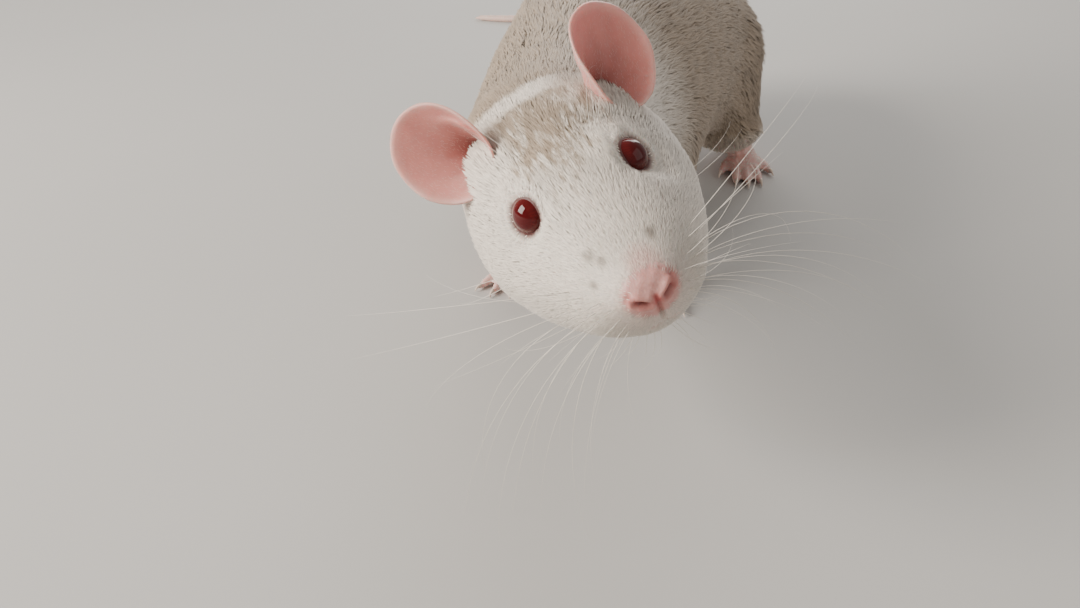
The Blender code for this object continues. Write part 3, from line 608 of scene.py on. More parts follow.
def clumped(roots, tips, size, pull, seed):
    """Draws the tips of neighbouring tufts together, in clumps of about the given size."""
    dice = np.random.default_rng(seed)
    warp = np.stack([wave(roots.places, size * 4, seed + k) for k in range(3)], 1) * size * 0.5
    cells = np.floor((roots.places + warp) / size).astype(np.int64)
    keys = cells @ np.array([73856093, 19349663, 83492791])
    _, group = np.unique(keys, return_inverse=True)
    count = np.bincount(group)
    middle = np.stack([np.bincount(group, tips[:, k]) / count for k in range(3)], 1)
    share = pull * dice.uniform(0.4, 1.0, len(tips))
    return tips + (middle[group] - tips) * share[:, None]


TUFT_POINTS = 7  # a ring of three at the root, one half way, and the tip
TUFT_SPOTS = [(0, 0), (0.5, 0), (1, 0), (0, 0.5), (0.5, 0.5), (1, 0.5), (0.5, 1)]


def grow(name, roots, lie, lengths, widths, depths, dice, clump, wildness=0.16):
    """Tufts as one mesh: each a thin three-sided blade that rises from its root and lies along the skin.

    clump gives the size of the clumps that the tips draw together in, in millimetres, and how strongly.
    """
    count = len(roots)
    out = roots.out
    lie = unit(lie - out * (lie * out).sum(1)[:, None])
    across = np.cross(lie, out)
    sway = wave(roots.places, 0.012, 91) * 0.22 + dice.normal(size=count) * wildness
    lie = unit(lie + across * sway[:, None])
    across = np.cross(lie, out)
    start = roots.places - out * np.minimum(0.12 * MM, depths * 0.3)[:, None]
    rise = depths * dice.uniform(0.75, 1.15, count)
    ahead = np.sqrt(np.maximum(lengths**2 - rise**2, (0.4 * lengths) ** 2))
    middle = start + lie * (ahead * 0.5)[:, None] + out * (rise * 0.85)[:, None]
    tip = start + lie * ahead[:, None] + out * rise[:, None]
    tip = clumped(roots, tip, clump[0] * MM, clump[1], 17)
    middle = middle * 0.85 + (start + tip) / 2 * 0.15
    thick = np.stack([across * -0.5, across * 0.5, out * 0.42], 1)
    ring_a = start[:, None] + thick * (widths * 0.75)[:, None, None]
    ring_b = middle[:, None] + thick * widths[:, None, None]
    points = np.concatenate([ring_a, ring_b, tip[:, None]], 1)
    points[..., 2] = np.maximum(points[..., 2], 0.1 * MM)
    sides = []
    for k in range(3):
        after = (k + 1) % 3
        sides += [(k, 3 + after, after), (k, 3 + k, 3 + after), (3 + k, 6, 3 + after)]
    sides.append((0, 1, 2))
    faces = np.array(sides)[None] + (np.arange(count) * TUFT_POINTS)[:, None, None]
    shade = TUFT_SHADE * unit(np.concatenate([thick, thick, lie[:, None] * 0.5], 1))
    facing = unit(out[:, None] + shade)
    spots = roots.spots[:, None] + (np.array(TUFT_SPOTS) - 0.5)[None] * TUFT_PATCH
    tone = np.repeat(dice.uniform(0, 1, count), TUFT_POINTS)
    along = np.tile([0, 0, 0, 0.5, 0.5, 0.5, 1.0], count)
    return triangle_mesh(name, points.reshape(-1, 3), faces.reshape(-1, 3), facing.reshape(-1, 3),
                         spots.reshape(-1, 2), {"tone": tone, "along": along})


def triangle_mesh(name, points, faces, facing, spots, values):
    """A mesh object from arrays, with its shading normals, its OFBake map and its point values."""
    mesh = bpy.data.meshes.new(name)
    mesh.vertices.add(len(points))
    mesh.vertices.foreach_set("co", points.astype(np.float32).ravel())
    mesh.loops.add(faces.size)
    mesh.loops.foreach_set("vertex_index", faces.astype(np.int32).ravel())
    mesh.polygons.add(len(faces))
    mesh.polygons.foreach_set("loop_start", np.arange(0, faces.size, 3, dtype=np.int32))
    mesh.update(calc_edges=True)
    mesh.polygons.foreach_set("use_smooth", np.ones(len(faces), bool))
    layer = mesh.uv_layers.new(name="OFBake")
    layer.data.foreach_set("uv", spots[faces.ravel()].astype(np.float32).ravel())
    thing = linked(mesh)
    for label, value in values.items():
        mark(thing, label, value)
    mesh.normals_split_custom_set_from_vertices(facing.astype(np.float32))
    return thing


def coat_pieces(name, roots, dice, sizes, clump):
    """Tufts over all the roots, in as many pieces as the size of one piece needs, from nose to tail."""
    order = np.argsort(roots.places[:, 1], kind="stable")
    count = max(1, math.ceil(len(order) / COAT_LIMIT))
    pieces = []
    for k, chosen in enumerate(np.array_split(order, count)):
        part = roots.take(chosen)
        depth = np.maximum(coat_depth(part.places), LEAST_DEPTH)
        length, width = sizes(part.places)
        spread = dice.uniform(0.75, 1.2, len(part))
        label = f"{name}_{k + 1}" if count > 1 else name
        lie = lie_of_coat(part.places)
        pieces.append(grow(label, part, lie, length * spread * MM, width * MM, depth * MM, dice, clump))
    return pieces


# Tufts on each square millimetre, then how many more on the muzzle, at the neck and low on the legs.
FACE_TUFTS, MUZZLE_TUFTS = 11.5, 9.0
BODY_TUFTS, NECK_TUFTS, LEG_TUFTS = 2.5, 2.9, 2.6


def face_density(places):
    """Tufts on each square millimetre of head: none on the nose or the lids' rims, most on the muzzle."""
    head = in_head(places)
    half = folded(head)
    pad = nose_pad(head)
    lips = np.minimum(path_distance(half, LIP_SPLIT), path_distance(half, MOUTH))
    bare_nose = (0.12 + 0.88 * smoothstep(1.0, 1.2, pad)) * smoothstep(0.75, 0.95, pad)
    bare_nose *= smoothstep(0.9, 1.4, path_distance(half, NOSTRIL)) * smoothstep(0.35, 0.8, lips)
    rims = smoothstep(1.02, 1.16, eye_opening(head))
    rear = 1 - smoothstep(*FACE_COAT_ENDS, head[:, 1])
    muzzle = 1 - smoothstep(-20.0, -8.0, head[:, 1])
    return (FACE_TUFTS + MUZZLE_TUFTS * muzzle) * bare_nose * rims * rear * QUICK_SHARE


def face_sizes(places):
    """The lengths and widths of the head's tufts, longest at the nape and shortest on the nose and lids."""
    head = in_head(places)
    length = read_off(FACE_LENGTHS, head[:, 1])
    length *= 0.3 + 0.7 * smoothstep(3.4, 7.0, eye_distance(head))
    length += np.where(head[:, 0] > 0, -0.62 * length, 1.5) * ear_base(head)
    return length, read_off(FACE_WIDTHS, head[:, 1]) / math.sqrt(QUICK_SHARE)


def body_density(places):
    """Tufts on each square millimetre of body: finer at the neck and low on the legs, none on the paws."""
    head = in_head(places)
    front = smoothstep(*BODY_COAT_STARTS, head[:, 1])
    low = bareness(places)
    near = 1 - smoothstep(25, 60, head[:, 1])
    tufts = BODY_TUFTS + NECK_TUFTS * near + LEG_TUFTS * low
    return tufts * (1 - 0.75 * smoothstep(0.93, 1.0, low)) * front * QUICK_SHARE


def body_sizes(places):
    """The lengths and widths of the body's tufts, shorter and finer towards the paws."""
    head = in_head(places)
    low = bareness(places)
    length = read_off(BODY_LENGTHS, head[:, 1]) * (1 - 0.7 * low)
    length *= read_off(LOW_LENGTHS, places[:, 2] / MM)
    width = read_off(BODY_WIDTHS, head[:, 1]) * (1 - 0.62 * low)
    return length, width / math.sqrt(QUICK_SHARE)


def bristles(name, thing, density, length, width, rise, lie, dice):
    """Fine sparse hairs on a bare piece. lie gives their direction at each root."""
    roots = Ground(thing).scatter(lambda places: np.full(len(places), density * QUICK_SHARE), dice)
    spread = dice.uniform(0.6, 1.2, len(roots)) * MM
    widths = width * np.full(len(roots), MM)
    return grow(name, roots, lie(roots.places), length * spread, widths, rise * spread, dice, (1.0, 0.0), 0.3)


def ring_faces(first, count, around):
    """The faces of a closed form: count rings, each of the same number of points, the first point given."""
    faces = []
    for k in range(count - 1):
        for j in range(around):
            a, b = first + k * around + j, first + k * around + (j + 1) % around
            faces.append((a, b, b + around, a + around))
    last = first + (count - 1) * around
    faces.append(tuple(range(first + around - 1, first - 1, -1)))
    faces.append(tuple(range(last, last + around)))
    return faces


def closed_piece(name, points, faces):
    """A smooth piece from points and faces, its faces turned outwards."""
    mesh = bpy.data.meshes.new(name)
    mesh.from_pydata(points, [], faces)
    thing = linked(mesh)
    edit_all(thing, bpy.ops.mesh.normals_make_consistent, inside=False)
    bpy.ops.object.shade_smooth()
    return thing


def tubes(name, paths, radii, sides):
    """Closed round tubes along paths, on or above the floor, all in one mesh.

    Each path has one radius for each of its points, or one for each side of each point.
    """
    points, faces, first = [], [], 0
    turn = np.arange(sides) / sides * math.tau
    for path, radius in zip(paths, radii):
        path, radius = np.asarray(path, float), np.asarray(radius, float)
        ahead = unit(np.gradient(path, axis=0))
        across = unit(np.cross(ahead, [0.02, 0.03, 1.0]))
        above = np.cross(across, ahead)
        ring = across[:, None] * np.cos(turn)[None, :, None] + above[:, None] * np.sin(turn)[None, :, None]
        around = radius[:, None] if radius.ndim == 1 else radius
        rows = path[:, None] + ring * around[..., None]
        rows[..., 2] = np.maximum(rows[..., 2], 0.0)
        points.append(rows.reshape(-1, 3))
        faces += ring_faces(first, len(path), sides)
        first += len(path) * sides
    return closed_piece(name, np.concatenate(points), faces)


MARCH_LIMIT = 400  # steps


def march(places, start, heading, step, reach):
    """Points along the middle of a long round form, followed from one end, and how thick it is there."""
    points, radii = [], []
    at, heading = np.array(start), unit(np.array(heading))
    for _ in range(MARCH_LIMIT):
        beside = places - (at + heading * step)
        near = (np.abs(beside @ heading) < step) & (np.linalg.norm(beside, axis=1) < reach)
        if near.sum() < 5:
            break
        middle = places[near].mean(0)
        if (middle - at) @ heading < step * 0.4:
            break
        heading = unit(heading * 0.5 + unit(middle - at) * 0.5)
        at = middle
        radii.append(float(np.linalg.norm(places[near] - middle, axis=1).mean()))
        points.append(middle)
    return np.array(points), np.array(radii)


def evenly(path, values, step):
    """The path and its values read again at even steps along it."""
    gone = np.concatenate([[0], np.cumsum(np.linalg.norm(np.diff(path, axis=0), axis=1))])
    at = np.arange(0, gone[-1], step)
    points = np.stack([np.interp(at, gone, path[:, k]) for k in range(3)], 1)
    return points, np.interp(at, gone, values), at


def eased_rows(rows, rounds):
    """Smooths values along a row, keeping its ends."""
    for _ in range(rounds):
        rows[1:-1] = rows[1:-1] * 0.5 + (rows[:-2] + rows[2:]) * 0.25
    return rows


TAIL_STEP = 0.3
TAIL_SWELL = 0.2
TAIL_REACH = 6.5  # more than the tail's radius anywhere
TAIL_ROOTS = (13.0, 5.0)  # how far two more points lie inside the rump
TAIL_SIDES = 24
TAIL_HIDDEN = 30  # points of its path, from its start, deep in the rump
SCALE_RING = 1.05  # from one ring of scales to the next


def make_tail():
    """The bare tail in one length, the rings of its scales raised, from under the rump's coat to its tip."""
    plain = copied("tail_plain", TAIL)
    modify(plain, "DISPLACE", strength=TAIL_SWELL * MM, mid_level=0.0)
    modify(plain, "REMESH", mode="VOXEL", voxel_size=SKIN_CELL * MM)
    places = coordinates(plain)
    bpy.data.objects.remove(plain)
    last = coordinates(NODES[TAIL[-1]])
    tip = last[np.argmax(np.linalg.norm(last - np.array(box_middle(TAIL[-2])), axis=1))]
    near = places[np.linalg.norm(places - tip, axis=1) < 6.0 * MM]
    path, radii = march(places, tip, near.mean(0) - tip, 1.0 * MM, TAIL_REACH * MM)
    path, radii = path[::-1], radii[::-1]
    inward = unit(unit(path[0] - path[4]) + unit(np.array(box_middle("rump")) - path[0]) * 0.6)
    path = np.concatenate([[path[0] + inward * deep * MM for deep in TAIL_ROOTS], path, [tip]])
    radii = np.concatenate([[radii[0] * 1.1, radii[0] * 1.05], radii, [0.7 * radii[-1]]]) - TAIL_SWELL * MM
    path, radii, gone = evenly(eased_rows(path, 6), eased_rows(radii, 12), TAIL_STEP * MM)
    rings = gone / (SCALE_RING * MM)
    taper = np.clip((gone[-1] - gone) / (3.0 * MM), 0.0, 1.0) ** 0.5
    fine = np.clip(radii / (3.0 * MM), 0.3, 1.0)
    raised = (radii + ((rings % 1.0) ** 1.5 * 0.17 - 0.08) * MM * fine) * (0.25 + 0.75 * taper)
    turn = np.arange(TAIL_SIDES) / TAIL_SIDES * math.tau
    notch = np.cos(turn[None] * TAIL_SIDES / 2 + np.floor(rings)[:, None] * math.pi)
    raised = raised[:, None] * (1 + 0.012 * notch)
    return tubes("tail", [path], [raised], TAIL_SIDES), path


def make_eyes():
    """Two round glossy eyes where the solids have them, their poles on the pupils."""
    eyes = []
    for name, side in SIDES.items():
        deselect()
        bpy.ops.mesh.primitive_uv_sphere_add(
            segments=64, ring_count=48, radius=EYE_RADIUS * MM, location=box_middle(f"eye_{name}"))
        eye = bpy.context.object
        eye.name = f"eyeball_{name}"
        facing = HEAD_TURN @ mirrored(EYE_FACING, side)
        eye.rotation_euler = facing.to_track_quat("Z", "Y").to_euler()
        bpy.ops.object.transform_apply(location=True, rotation=True, scale=True)
        bpy.ops.object.shade_smooth()
        eyes.append(eye)
    return eyes


EAR_HALF_HEIGHT = 8.9
EAR_HALF_WIDTH = 7.6
EAR_DEPTH = 4.6
EAR_CANAL = (4.6, 2.6)  # from the rim's middle down and in to the deepest point of the cup
EAR_CANAL_DEPTH = 2.2
EAR_FOLD_ANGLE = math.radians(-105.0)
EAR_FOLD = 1.1
EAR_RIDGE_ANGLE = math.radians(-80.0)
EAR_RIDGE = 1.3
EAR_THICKNESS = 0.8
EAR_CIRCLES = 26
EAR_SPOKES = 96


def make_ears():
    """Thin round cups, each with a ridge along its inner edge, a deep canal and its foot sunk in the head."""
    ears = []
    turn = np.arange(EAR_SPOKES) / EAR_SPOKES * math.tau
    up, out = np.cos(turn)[:, None], np.sin(turn)[:, None]
    fold = np.maximum(0.0, np.cos(turn - EAR_FOLD_ANGLE))[:, None] ** 3
    ridge = np.maximum(0.0, np.cos(turn - EAR_RIDGE_ANGLE))[:, None] ** 4
    shares = list(np.linspace(0.0, 1.0, EAR_CIRCLES)[1:])
    for name, side in SIDES.items():
        middle, tip, opening = ear_axes(name)
        outward = np.cross(tip, opening) * side
        flare = outward * out + tip * up
        fronts, backs = [], []
        for share in shares:
            root = -(1 - share) * (tip * EAR_CANAL[0] + outward * EAR_CANAL[1])
            reach = tip * EAR_HALF_HEIGHT * up + outward * EAR_HALF_WIDTH * out * (1 - 0.08 * fold)
            height = -EAR_DEPTH * (1 - share**1.7) - EAR_CANAL_DEPTH * bell(share, 0.2)
            height = height + fold * EAR_FOLD * share**2 - 0.9 * share**3 * np.maximum(0.0, up)
            height += ridge * EAR_RIDGE * bell(share - 0.60, 0.11)
            height += 0.10 * np.sin(7 * turn + 9 * share)[:, None] * share
            front = middle + root + reach * share + opening * height
            thick = EAR_THICKNESS * (1.35 - 0.75 * share)
            fronts.append(front)
            backs.append(front - (opening - flare * 0.35 * share) * thick)
        rows = fronts + [(fronts[-1] + backs[-1]) / 2 + flare * 0.22] + backs[::-1]
        points = np.concatenate(rows) * MM @ np.array(HEAD_TURN).T + np.array(HEAD.translation)
        ear = closed_piece(f"ear_skin_{name}", points, ring_faces(0, len(rows), EAR_SPOKES))
        share = np.repeat(shares + [1.0] + shares[::-1], EAR_SPOKES)
        inner = np.repeat([1.0] * len(fronts) + [0.5] + [0.0] * len(backs), EAR_SPOKES)
        # How far into the cup's deep middle the darker red goes, partly painted shade.
        mark(ear, "canal", bell(share, 0.5) * inner)
        mark(ear, "rim", smoothstep(0.88, 1.0, share))
        ears.append(ear)
    return ears


# Rows of whiskers from the top: the row's height on the muzzle, how steeply it rises, and how many hairs.
WHISKER_ROWS = [
    (-6.2, 0.34, 4),
    (-7.8, 0.14, 5),
    (-9.4, -0.08, 5),
    (-11.0, -0.34, 5),
    (-12.4, -0.60, 4),
]

# The first hair of each row, then how much more the last one has. The rows give roots' heights and the rises.
WHISKER_ROOTS = ((4.6, -20.6), (3.6, 6.4, 0.8))
WHISKER_HEADINGS = ((1.0, -0.50), (0.1, 0.78))
WHISKER_LENGTHS = (13.0, 24.0)
WHISKER_RADII = (0.04, 0.026)
WHISKER_BENDS = ((0.15, 0.45, -0.35), (0.1, -0.25, -0.9))  # of the rising rows, and of the falling ones
WHISKER_LIMIT = -87.5  # how far the tips may reach to the rat's right
WHISKER_POINTS = 14
WHISKER_LIFT = 0.4  # the least height over the floor, and how deep the roots are
WHISKER_TRIES = 12  # at most so often is a hair that reaches too far made shorter
WHISKER_CUT = 0.93

# The smaller groups, on the head's left: how many hairs, the first one's root and heading with what each next
# one adds to them, the bend, the length with what each next one and then chance may add, and the radius.
OTHER_HAIRS = [
    (3, ((5.6, 3.6, 6.4), (1.0, 1.2, -0.5)), ((0.35, 0.5, 1.0), (0.22, 0.2, 0.0)), (0.3, 0.9, -0.5),
     (17.0, -4.0, 0.0), 0.045),
    (2, ((14.5, -1.0, -8.0), (1.0, 4.0, -1.0)), ((1.0, 0.35, -0.15), (0.0, 0.0, 0.0)), (0.1, 0.8, -0.4),
     (16.0, -3.0, 0.0), 0.06),
    (6, ((0.8, -20.0, -14.0), (0.7, 1.2, -0.4)), ((0.25, -0.55, -0.8), (0.1, 0.1, 0.0)), (0.2, 0.5, -0.3),
     (6.5, 0.0, 3.0), 0.05),
]


def whisker_path(root, heading, bend, length):
    """A hair that starts along heading and curves towards bend, in the head's frame."""
    heading, bend = heading.normalized() * length, bend.normalized() * length * 0.6
    return [root + heading * (t - 0.22 * t**3) + bend * t * t for t in np.linspace(0, 1, WHISKER_POINTS)]


def make_whiskers(skin):
    """Long pale hairs on the muzzle, over the eyes, on the cheeks and at the chin."""
    dice = np.random.default_rng(23)
    finder = KDTree(len(skin.data.vertices))
    for k, place in enumerate(coordinates(skin)):
        finder.insert(place, k)
    finder.balance()
    paths, radii = [], []

    def hair(side, root, heading, bend, length, thick):
        root = HEAD.inverted() @ Vector(finder.find(HEAD @ mirrored(Vector(root), side))[0])
        heading = mirrored(Vector(heading), side) + Vector(dice.normal(size=3) * 0.05)
        bend = mirrored(Vector(bend), side) + Vector(dice.normal(size=3) * 0.22)
        root -= heading.normalized() * WHISKER_LIFT
        for _ in range(WHISKER_TRIES):
            path = [HEAD @ point for point in whisker_path(root, heading, bend, length)]
            if min(point.x for point in path) > WHISKER_LIMIT * MM:
                break
            length *= WHISKER_CUT
        paths.append([(p.x, p.y, max(p.z, WHISKER_LIFT * MM)) for p in path])
        radii.append((0.12 + 0.88 * np.linspace(1, 0, WHISKER_POINTS)) * thick * MM)

    for side in SIDES.values():
        for height, rise, count in WHISKER_ROWS:
            for k in range(count):
                share = k / (count - 1)
                root = np.array((*WHISKER_ROOTS[0], height)) + np.array(WHISKER_ROOTS[1]) * share
                heading = (*np.array(WHISKER_HEADINGS[0]) + np.array(WHISKER_HEADINGS[1]) * share, rise)
                length = (WHISKER_LENGTHS[0] + WHISKER_LENGTHS[1] * share) * dice.uniform(0.8, 1.15)
                thick = WHISKER_RADII[0] + WHISKER_RADII[1] * share
                hair(side, root, heading, WHISKER_BENDS[rise < 0], length, thick)
        for count, roots, headings, bend, lengths, thick in OTHER_HAIRS:
            for k in range(count):
                root, heading = (np.array(first) + np.array(step) * k for first, step in (roots, headings))
                length, step, chance = lengths
                length += step * k + (dice.uniform(0, chance) if chance else 0.0)
                hair(side, root, heading, bend, length, thick)
    return tubes("whiskers", paths, radii, 5)


def claw_tips(node):
    """The ends of a paw's digits: where its solid stands out farthest from its middle."""
    places = np.unique(np.round(coordinates(NODES[node]), 7), axis=0)
    rear = places[np.argsort(places[:, 2])[-10:]].mean(0) * [1, 1, 0]
    reach = np.linalg.norm(places * [1, 1, 0] - rear, axis=1)
    tips = []
    for k in np.argsort(-reach):
        near = np.linalg.norm(places - places[k], axis=1) < 2.2 * MM
        if reach[k] >= reach[near].max() and reach[k] > 0.62 * reach.max() and places[k][2] < 2 * MM:
            body = places[np.linalg.norm(places - places[k], axis=1) < 3.2 * MM].mean(0)
            tips.append((places[k], unit((places[k] - body) * [1, 1, 0])))
    return tips


CLAW_LENGTHS = {"forepaw": 1.8, "hindfoot": 2.3}


def make_claws():
    """A short curved claw at the end of each digit."""
    paths, radii = [], []
    for node in PAWS:
        length = CLAW_LENGTHS[node.split("_")[0]]
        for tip, heading in claw_tips(node):
            at = np.linspace(0, 1, 8)
            path = tip - heading * ((1 - at)[:, None] * length * MM)
            path[:, 2] = (0.28 + 0.95 * (1 - at) ** 0.7 * length / 2) * MM + np.sin(at * math.pi) * 0.22 * MM
            paths.append(path)
            radii.append((0.50 * (1 - at) ** 0.75 + 0.06) * MM * length / 2.2)
    return tubes("claws", paths, radii, 8)


class Maker:
    """Adds shader nodes to a new material; each call gives the new node's main output."""

    def __init__(self, name):
        self.material = bpy.data.materials.new(name)
        self.material.use_nodes = True
        self.tree = self.material.node_tree
        self.shader = self.tree.nodes["Principled BSDF"]

    def put(self, socket, value):
        if isinstance(value, bpy.types.NodeSocket):
            self.tree.links.new(value, socket)
        else:
            socket.default_value = value

    def node(self, kind, output=0, inputs=(), **settings):
        made = self.tree.nodes.new(kind)
        for name, value in settings.items():
            setattr(made, name, value)
        for name, value in dict(inputs).items():
            self.put(made.inputs[name], value)
        return made.outputs[output]

    def calc(self, operation, a, b=0.0, clamp=False):
        return self.node("ShaderNodeMath", inputs={0: a, 1: b}, operation=operation, use_clamp=clamp)

    def times(self, first, *others):
        for other in others:
            first = self.calc("MULTIPLY", first, other)
        return first

    def split(self, vector):
        """The three parts of a vector."""
        parts = self.tree.nodes.new("ShaderNodeSeparateXYZ")
        self.put(parts.inputs[0], vector)
        return parts.outputs

    def span(self, value, low, high, start=0.0, end=1.0):
        """Start below low, end above high, eased between."""
        inputs = {"Value": value, "From Min": low, "From Max": high, "To Min": start, "To Max": end}
        return self.node("ShaderNodeMapRange", inputs=inputs, interpolation_type="SMOOTHSTEP")

    def mix(self, share, a, b, blend="MIX"):
        made = self.tree.nodes.new("ShaderNodeMix")
        made.data_type, made.blend_type = "RGBA", blend
        self.put(made.inputs[0], share)
        self.put(made.inputs[6], (*a, 1.0) if isinstance(a, tuple) else a)
        self.put(made.inputs[7], (*b, 1.0) if isinstance(b, tuple) else b)
        return made.outputs[2]

    def place(self, scale=(1, 1, 1), head=True):
        """Object coordinates, as the head's frame sees them in millimetres, then scaled."""
        spot = self.node("ShaderNodeTexCoord", output="Object")
        if head:
            inputs = {"Location": HEAD.translation, "Rotation": HEAD.to_euler(), "Scale": (MM, MM, MM)}
            spot = self.node("ShaderNodeMapping", inputs={0: spot, **inputs}, vector_type="TEXTURE")
        if tuple(scale) != (1, 1, 1):
            spot = self.node("ShaderNodeMapping", inputs={0: spot, "Scale": scale})
        return spot

    def noise(self, spot, scale, detail=2.0, rough=0.5):
        return self.node("ShaderNodeTexNoise", inputs={"Vector": spot, "Scale": scale, "Detail": detail,
                                                       "Roughness": rough})

    def value(self, name):
        return self.node("ShaderNodeAttribute", output="Fac", attribute_name=name)

    def near(self, spot, centre, radii):
        """How far spot is from centre, in the given radii."""
        inputs = {0: spot, "Location": centre, "Scale": radii}
        shifted = self.node("ShaderNodeMapping", inputs=inputs, vector_type="TEXTURE")
        return self.node("ShaderNodeVectorMath", output="Value", inputs={0: shifted}, operation="LENGTH")

    def bump(self, height, strength, distance):
        inputs = {"Height": height, "Strength": strength, "Distance": distance}
        self.put(self.shader.inputs["Normal"], self.node("ShaderNodeBump", inputs=inputs))

    def finish(self, colour, **sockets):
        self.put(self.shader.inputs["Base Color"], colour)
        for name, value in sockets.items():
            self.put(self.shader.inputs[name.replace("_", " ")], value)
        return self.material


# Grey smudges on the muzzle: their places in the head's frame and their sizes.
SMUDGES = [
    (-5.0, -15.3, -0.2, 1.0),
    (-3.9, -17.1, -0.8, 0.8),
    (-6.5, -18.2, -3.0, 0.7),
    (4.2, -16.9, -0.8, 1.0),
]

# Where skin shows through thin fur, and the painted shade down the lip's split, partly skin where the fur
# parts: place, radii, then edge, middle and strength.
BRIDGE_TINT = ((0.9, -20.6, -2.3), (3.6, 4.2, 3.6), 1.15, 0.3, 0.62)
MUZZLE_TINT = ((0.0, -22.5, -7.0), (8.0, 7.5, 7.5), 1.2, 0.4, 0.22)
SPLIT_SHADE_TINT = ((0.0, -24.0, -9.0), (0.55, 3.0, 3.2), 1.2, 0.2, 0.55)

# How far behind the eyes each marking is not yet there, then where it is whole.
CROWN_BEIGE = (18.4, 16.2)
BODY_BEIGE = (22.0, 25.6)
STRIPE_GAP = (14.5, 18.0)  # beige across the nape's stripe, on the rat's left
THROAT_WHITE = (62.0, 34.0)
EAR_WHITE = 7.0  # the reach of the white at the foot of each ear
LEG_BEIGE = (0.006, 0.014)  # the same over the floor, in metres


def fur_colour(make):
    """White with a beige crown and back, and a white stripe across the nape, right behind the ears."""
    spot = make.place()
    across, back, up = make.split(spot)

    def tint(centre, radii, edge, middle, strength):
        return make.span(make.near(spot, centre, radii), edge, middle, 0.0, strength)

    streaks = make.noise(make.place((1.0, 0.14, 1.0)), 1.0, 3.0, 0.65)
    streaks = make.calc("SUBTRACT", streaks, 0.5)
    ragged = make.times(streaks, 5.0)
    blotches = make.noise(spot, 0.16, 2.0)
    wander = make.times(make.calc("SUBTRACT", blotches, 0.5), 5.0)
    edge = make.calc("ADD", back, make.calc("ADD", wander, ragged))

    width = make.span(back, -10.0, 17.0, 3.0, 13.0)
    beside = make.calc("DIVIDE", make.calc("ABSOLUTE", make.calc("ADD", across, 0.8)), width)
    crown = make.times(make.span(beside, 1.45, 0.1), make.span(back, -11.0, 12.0))
    crown = make.span(make.calc("ADD", crown, make.times(streaks, 3.4)), 0.10, 0.92)
    crown = make.times(crown, make.span(back, -15.0, 2.0), make.span(beside, 1.5, 0.8),
                       make.span(edge, *CROWN_BEIGE), make.span(up, -6.0, 0.0), 0.95)

    gap = make.times(make.span(edge, *STRIPE_GAP), make.span(beside, 1.5, 1.2),
                     make.span(make.calc("ADD", across, ragged), 3.0, 8.5, 0.0, 0.85))
    throat = make.times(make.span(up, -4.0, -10.0), make.span(back, *THROAT_WHITE))
    low = make.calc("ADD", make.split(make.place(head=False))[2], make.times(wander, 0.0022))
    low = make.calc("ADD", low, make.times(ragged, 0.0007))
    body = make.calc("MAXIMUM", make.span(edge, *BODY_BEIGE), gap)
    body = make.times(body, make.span(low, *LEG_BEIGE), make.calc("SUBTRACT", 1.0, throat))

    beige = make.calc("MAXIMUM", crown, body, clamp=True)
    for name in SIDES:
        foot = make.near(spot, tuple(ear_foot(name)), (EAR_WHITE, EAR_WHITE, EAR_WHITE))
        beige = make.times(beige, make.span(foot, 0.65, 1.15))
    warm = make.mix(make.span(blotches, 0.35, 0.7), BEIGE_FUR, tuple(c * 0.86 for c in BEIGE_FUR))
    colour = make.mix(beige, WHITE_FUR, warm)
    thin = make.calc("MAXIMUM", tint(*BRIDGE_TINT), tint(*MUZZLE_TINT))
    colour = make.mix(thin, colour, THIN_FUR_PINK)
    for x, y, z, size in SMUDGES:
        smudge = tint((x, y, z), (size, size * 1.5, size), 1.4, 0.1, 0.78)
        colour = make.mix(smudge, colour, SMUDGE_GREY)
    # Painted shade down the lip's split, partly skin where the fur parts.
    colour = make.mix(tint(*SPLIT_SHADE_TINT), colour, LIP_SPLIT_SHADE)
    return colour, spot


def skin_material():
    make = Maker("skin_under_coat")
    fur, spot = fur_colour(make)
    colour = make.mix(0.14, fur, SKIN_PINK)
    colour = make.mix(make.value("pad"), colour, make.mix(make.noise(spot, 1.3, 3.0), *PAD_PINKS))
    colour = make.mix(make.times(make.value("nostril"), 0.9), colour, NOSTRIL_RED)
    colour = make.mix(make.value("lip_top"), colour, LIP_TOP_RED)
    # Painted shadow in the nostrils' pits.
    colour = make.mix(make.value("pit_shadow"), colour, NOSTRIL_SHADOW)
    colour = make.mix(make.value("lid"), colour, LID_DARK)
    paw = make.mix(make.noise(make.place(head=False), 700.0, 2.0), *PAW_PINKS)
    colour = make.mix(make.value("paw"), colour, paw)
    make.bump(make.noise(spot, 3.4, 2.0), 0.35, 0.0002)
    return make.finish(colour, Roughness=0.52, Subsurface_Weight=0.35, Subsurface_Radius=(1.0, 0.4, 0.25),
                       Subsurface_Scale=0.0012)


def coat_material():
    make = Maker("coat")
    fur, _ = fur_colour(make)
    tone = make.span(make.value("tone"), 0.0, 1.0, 0.86, 1.06)
    # Painted shade: each tuft is darker towards its root, where the hairs shade one another.
    depth = make.span(make.value("along"), 0.0, 0.7, 0.88, 1.0)
    shade = make.times(tone, depth)
    tone_and_root_shade = make.node("ShaderNodeCombineXYZ", inputs={0: shade, 1: shade, 2: shade})
    colour = make.mix(1.0, fur, tone_and_root_shade, "MULTIPLY")
    return make.finish(colour, Roughness=0.62, Sheen_Weight=0.22, Sheen_Roughness=0.45,
                       Specular_IOR_Level=0.3)


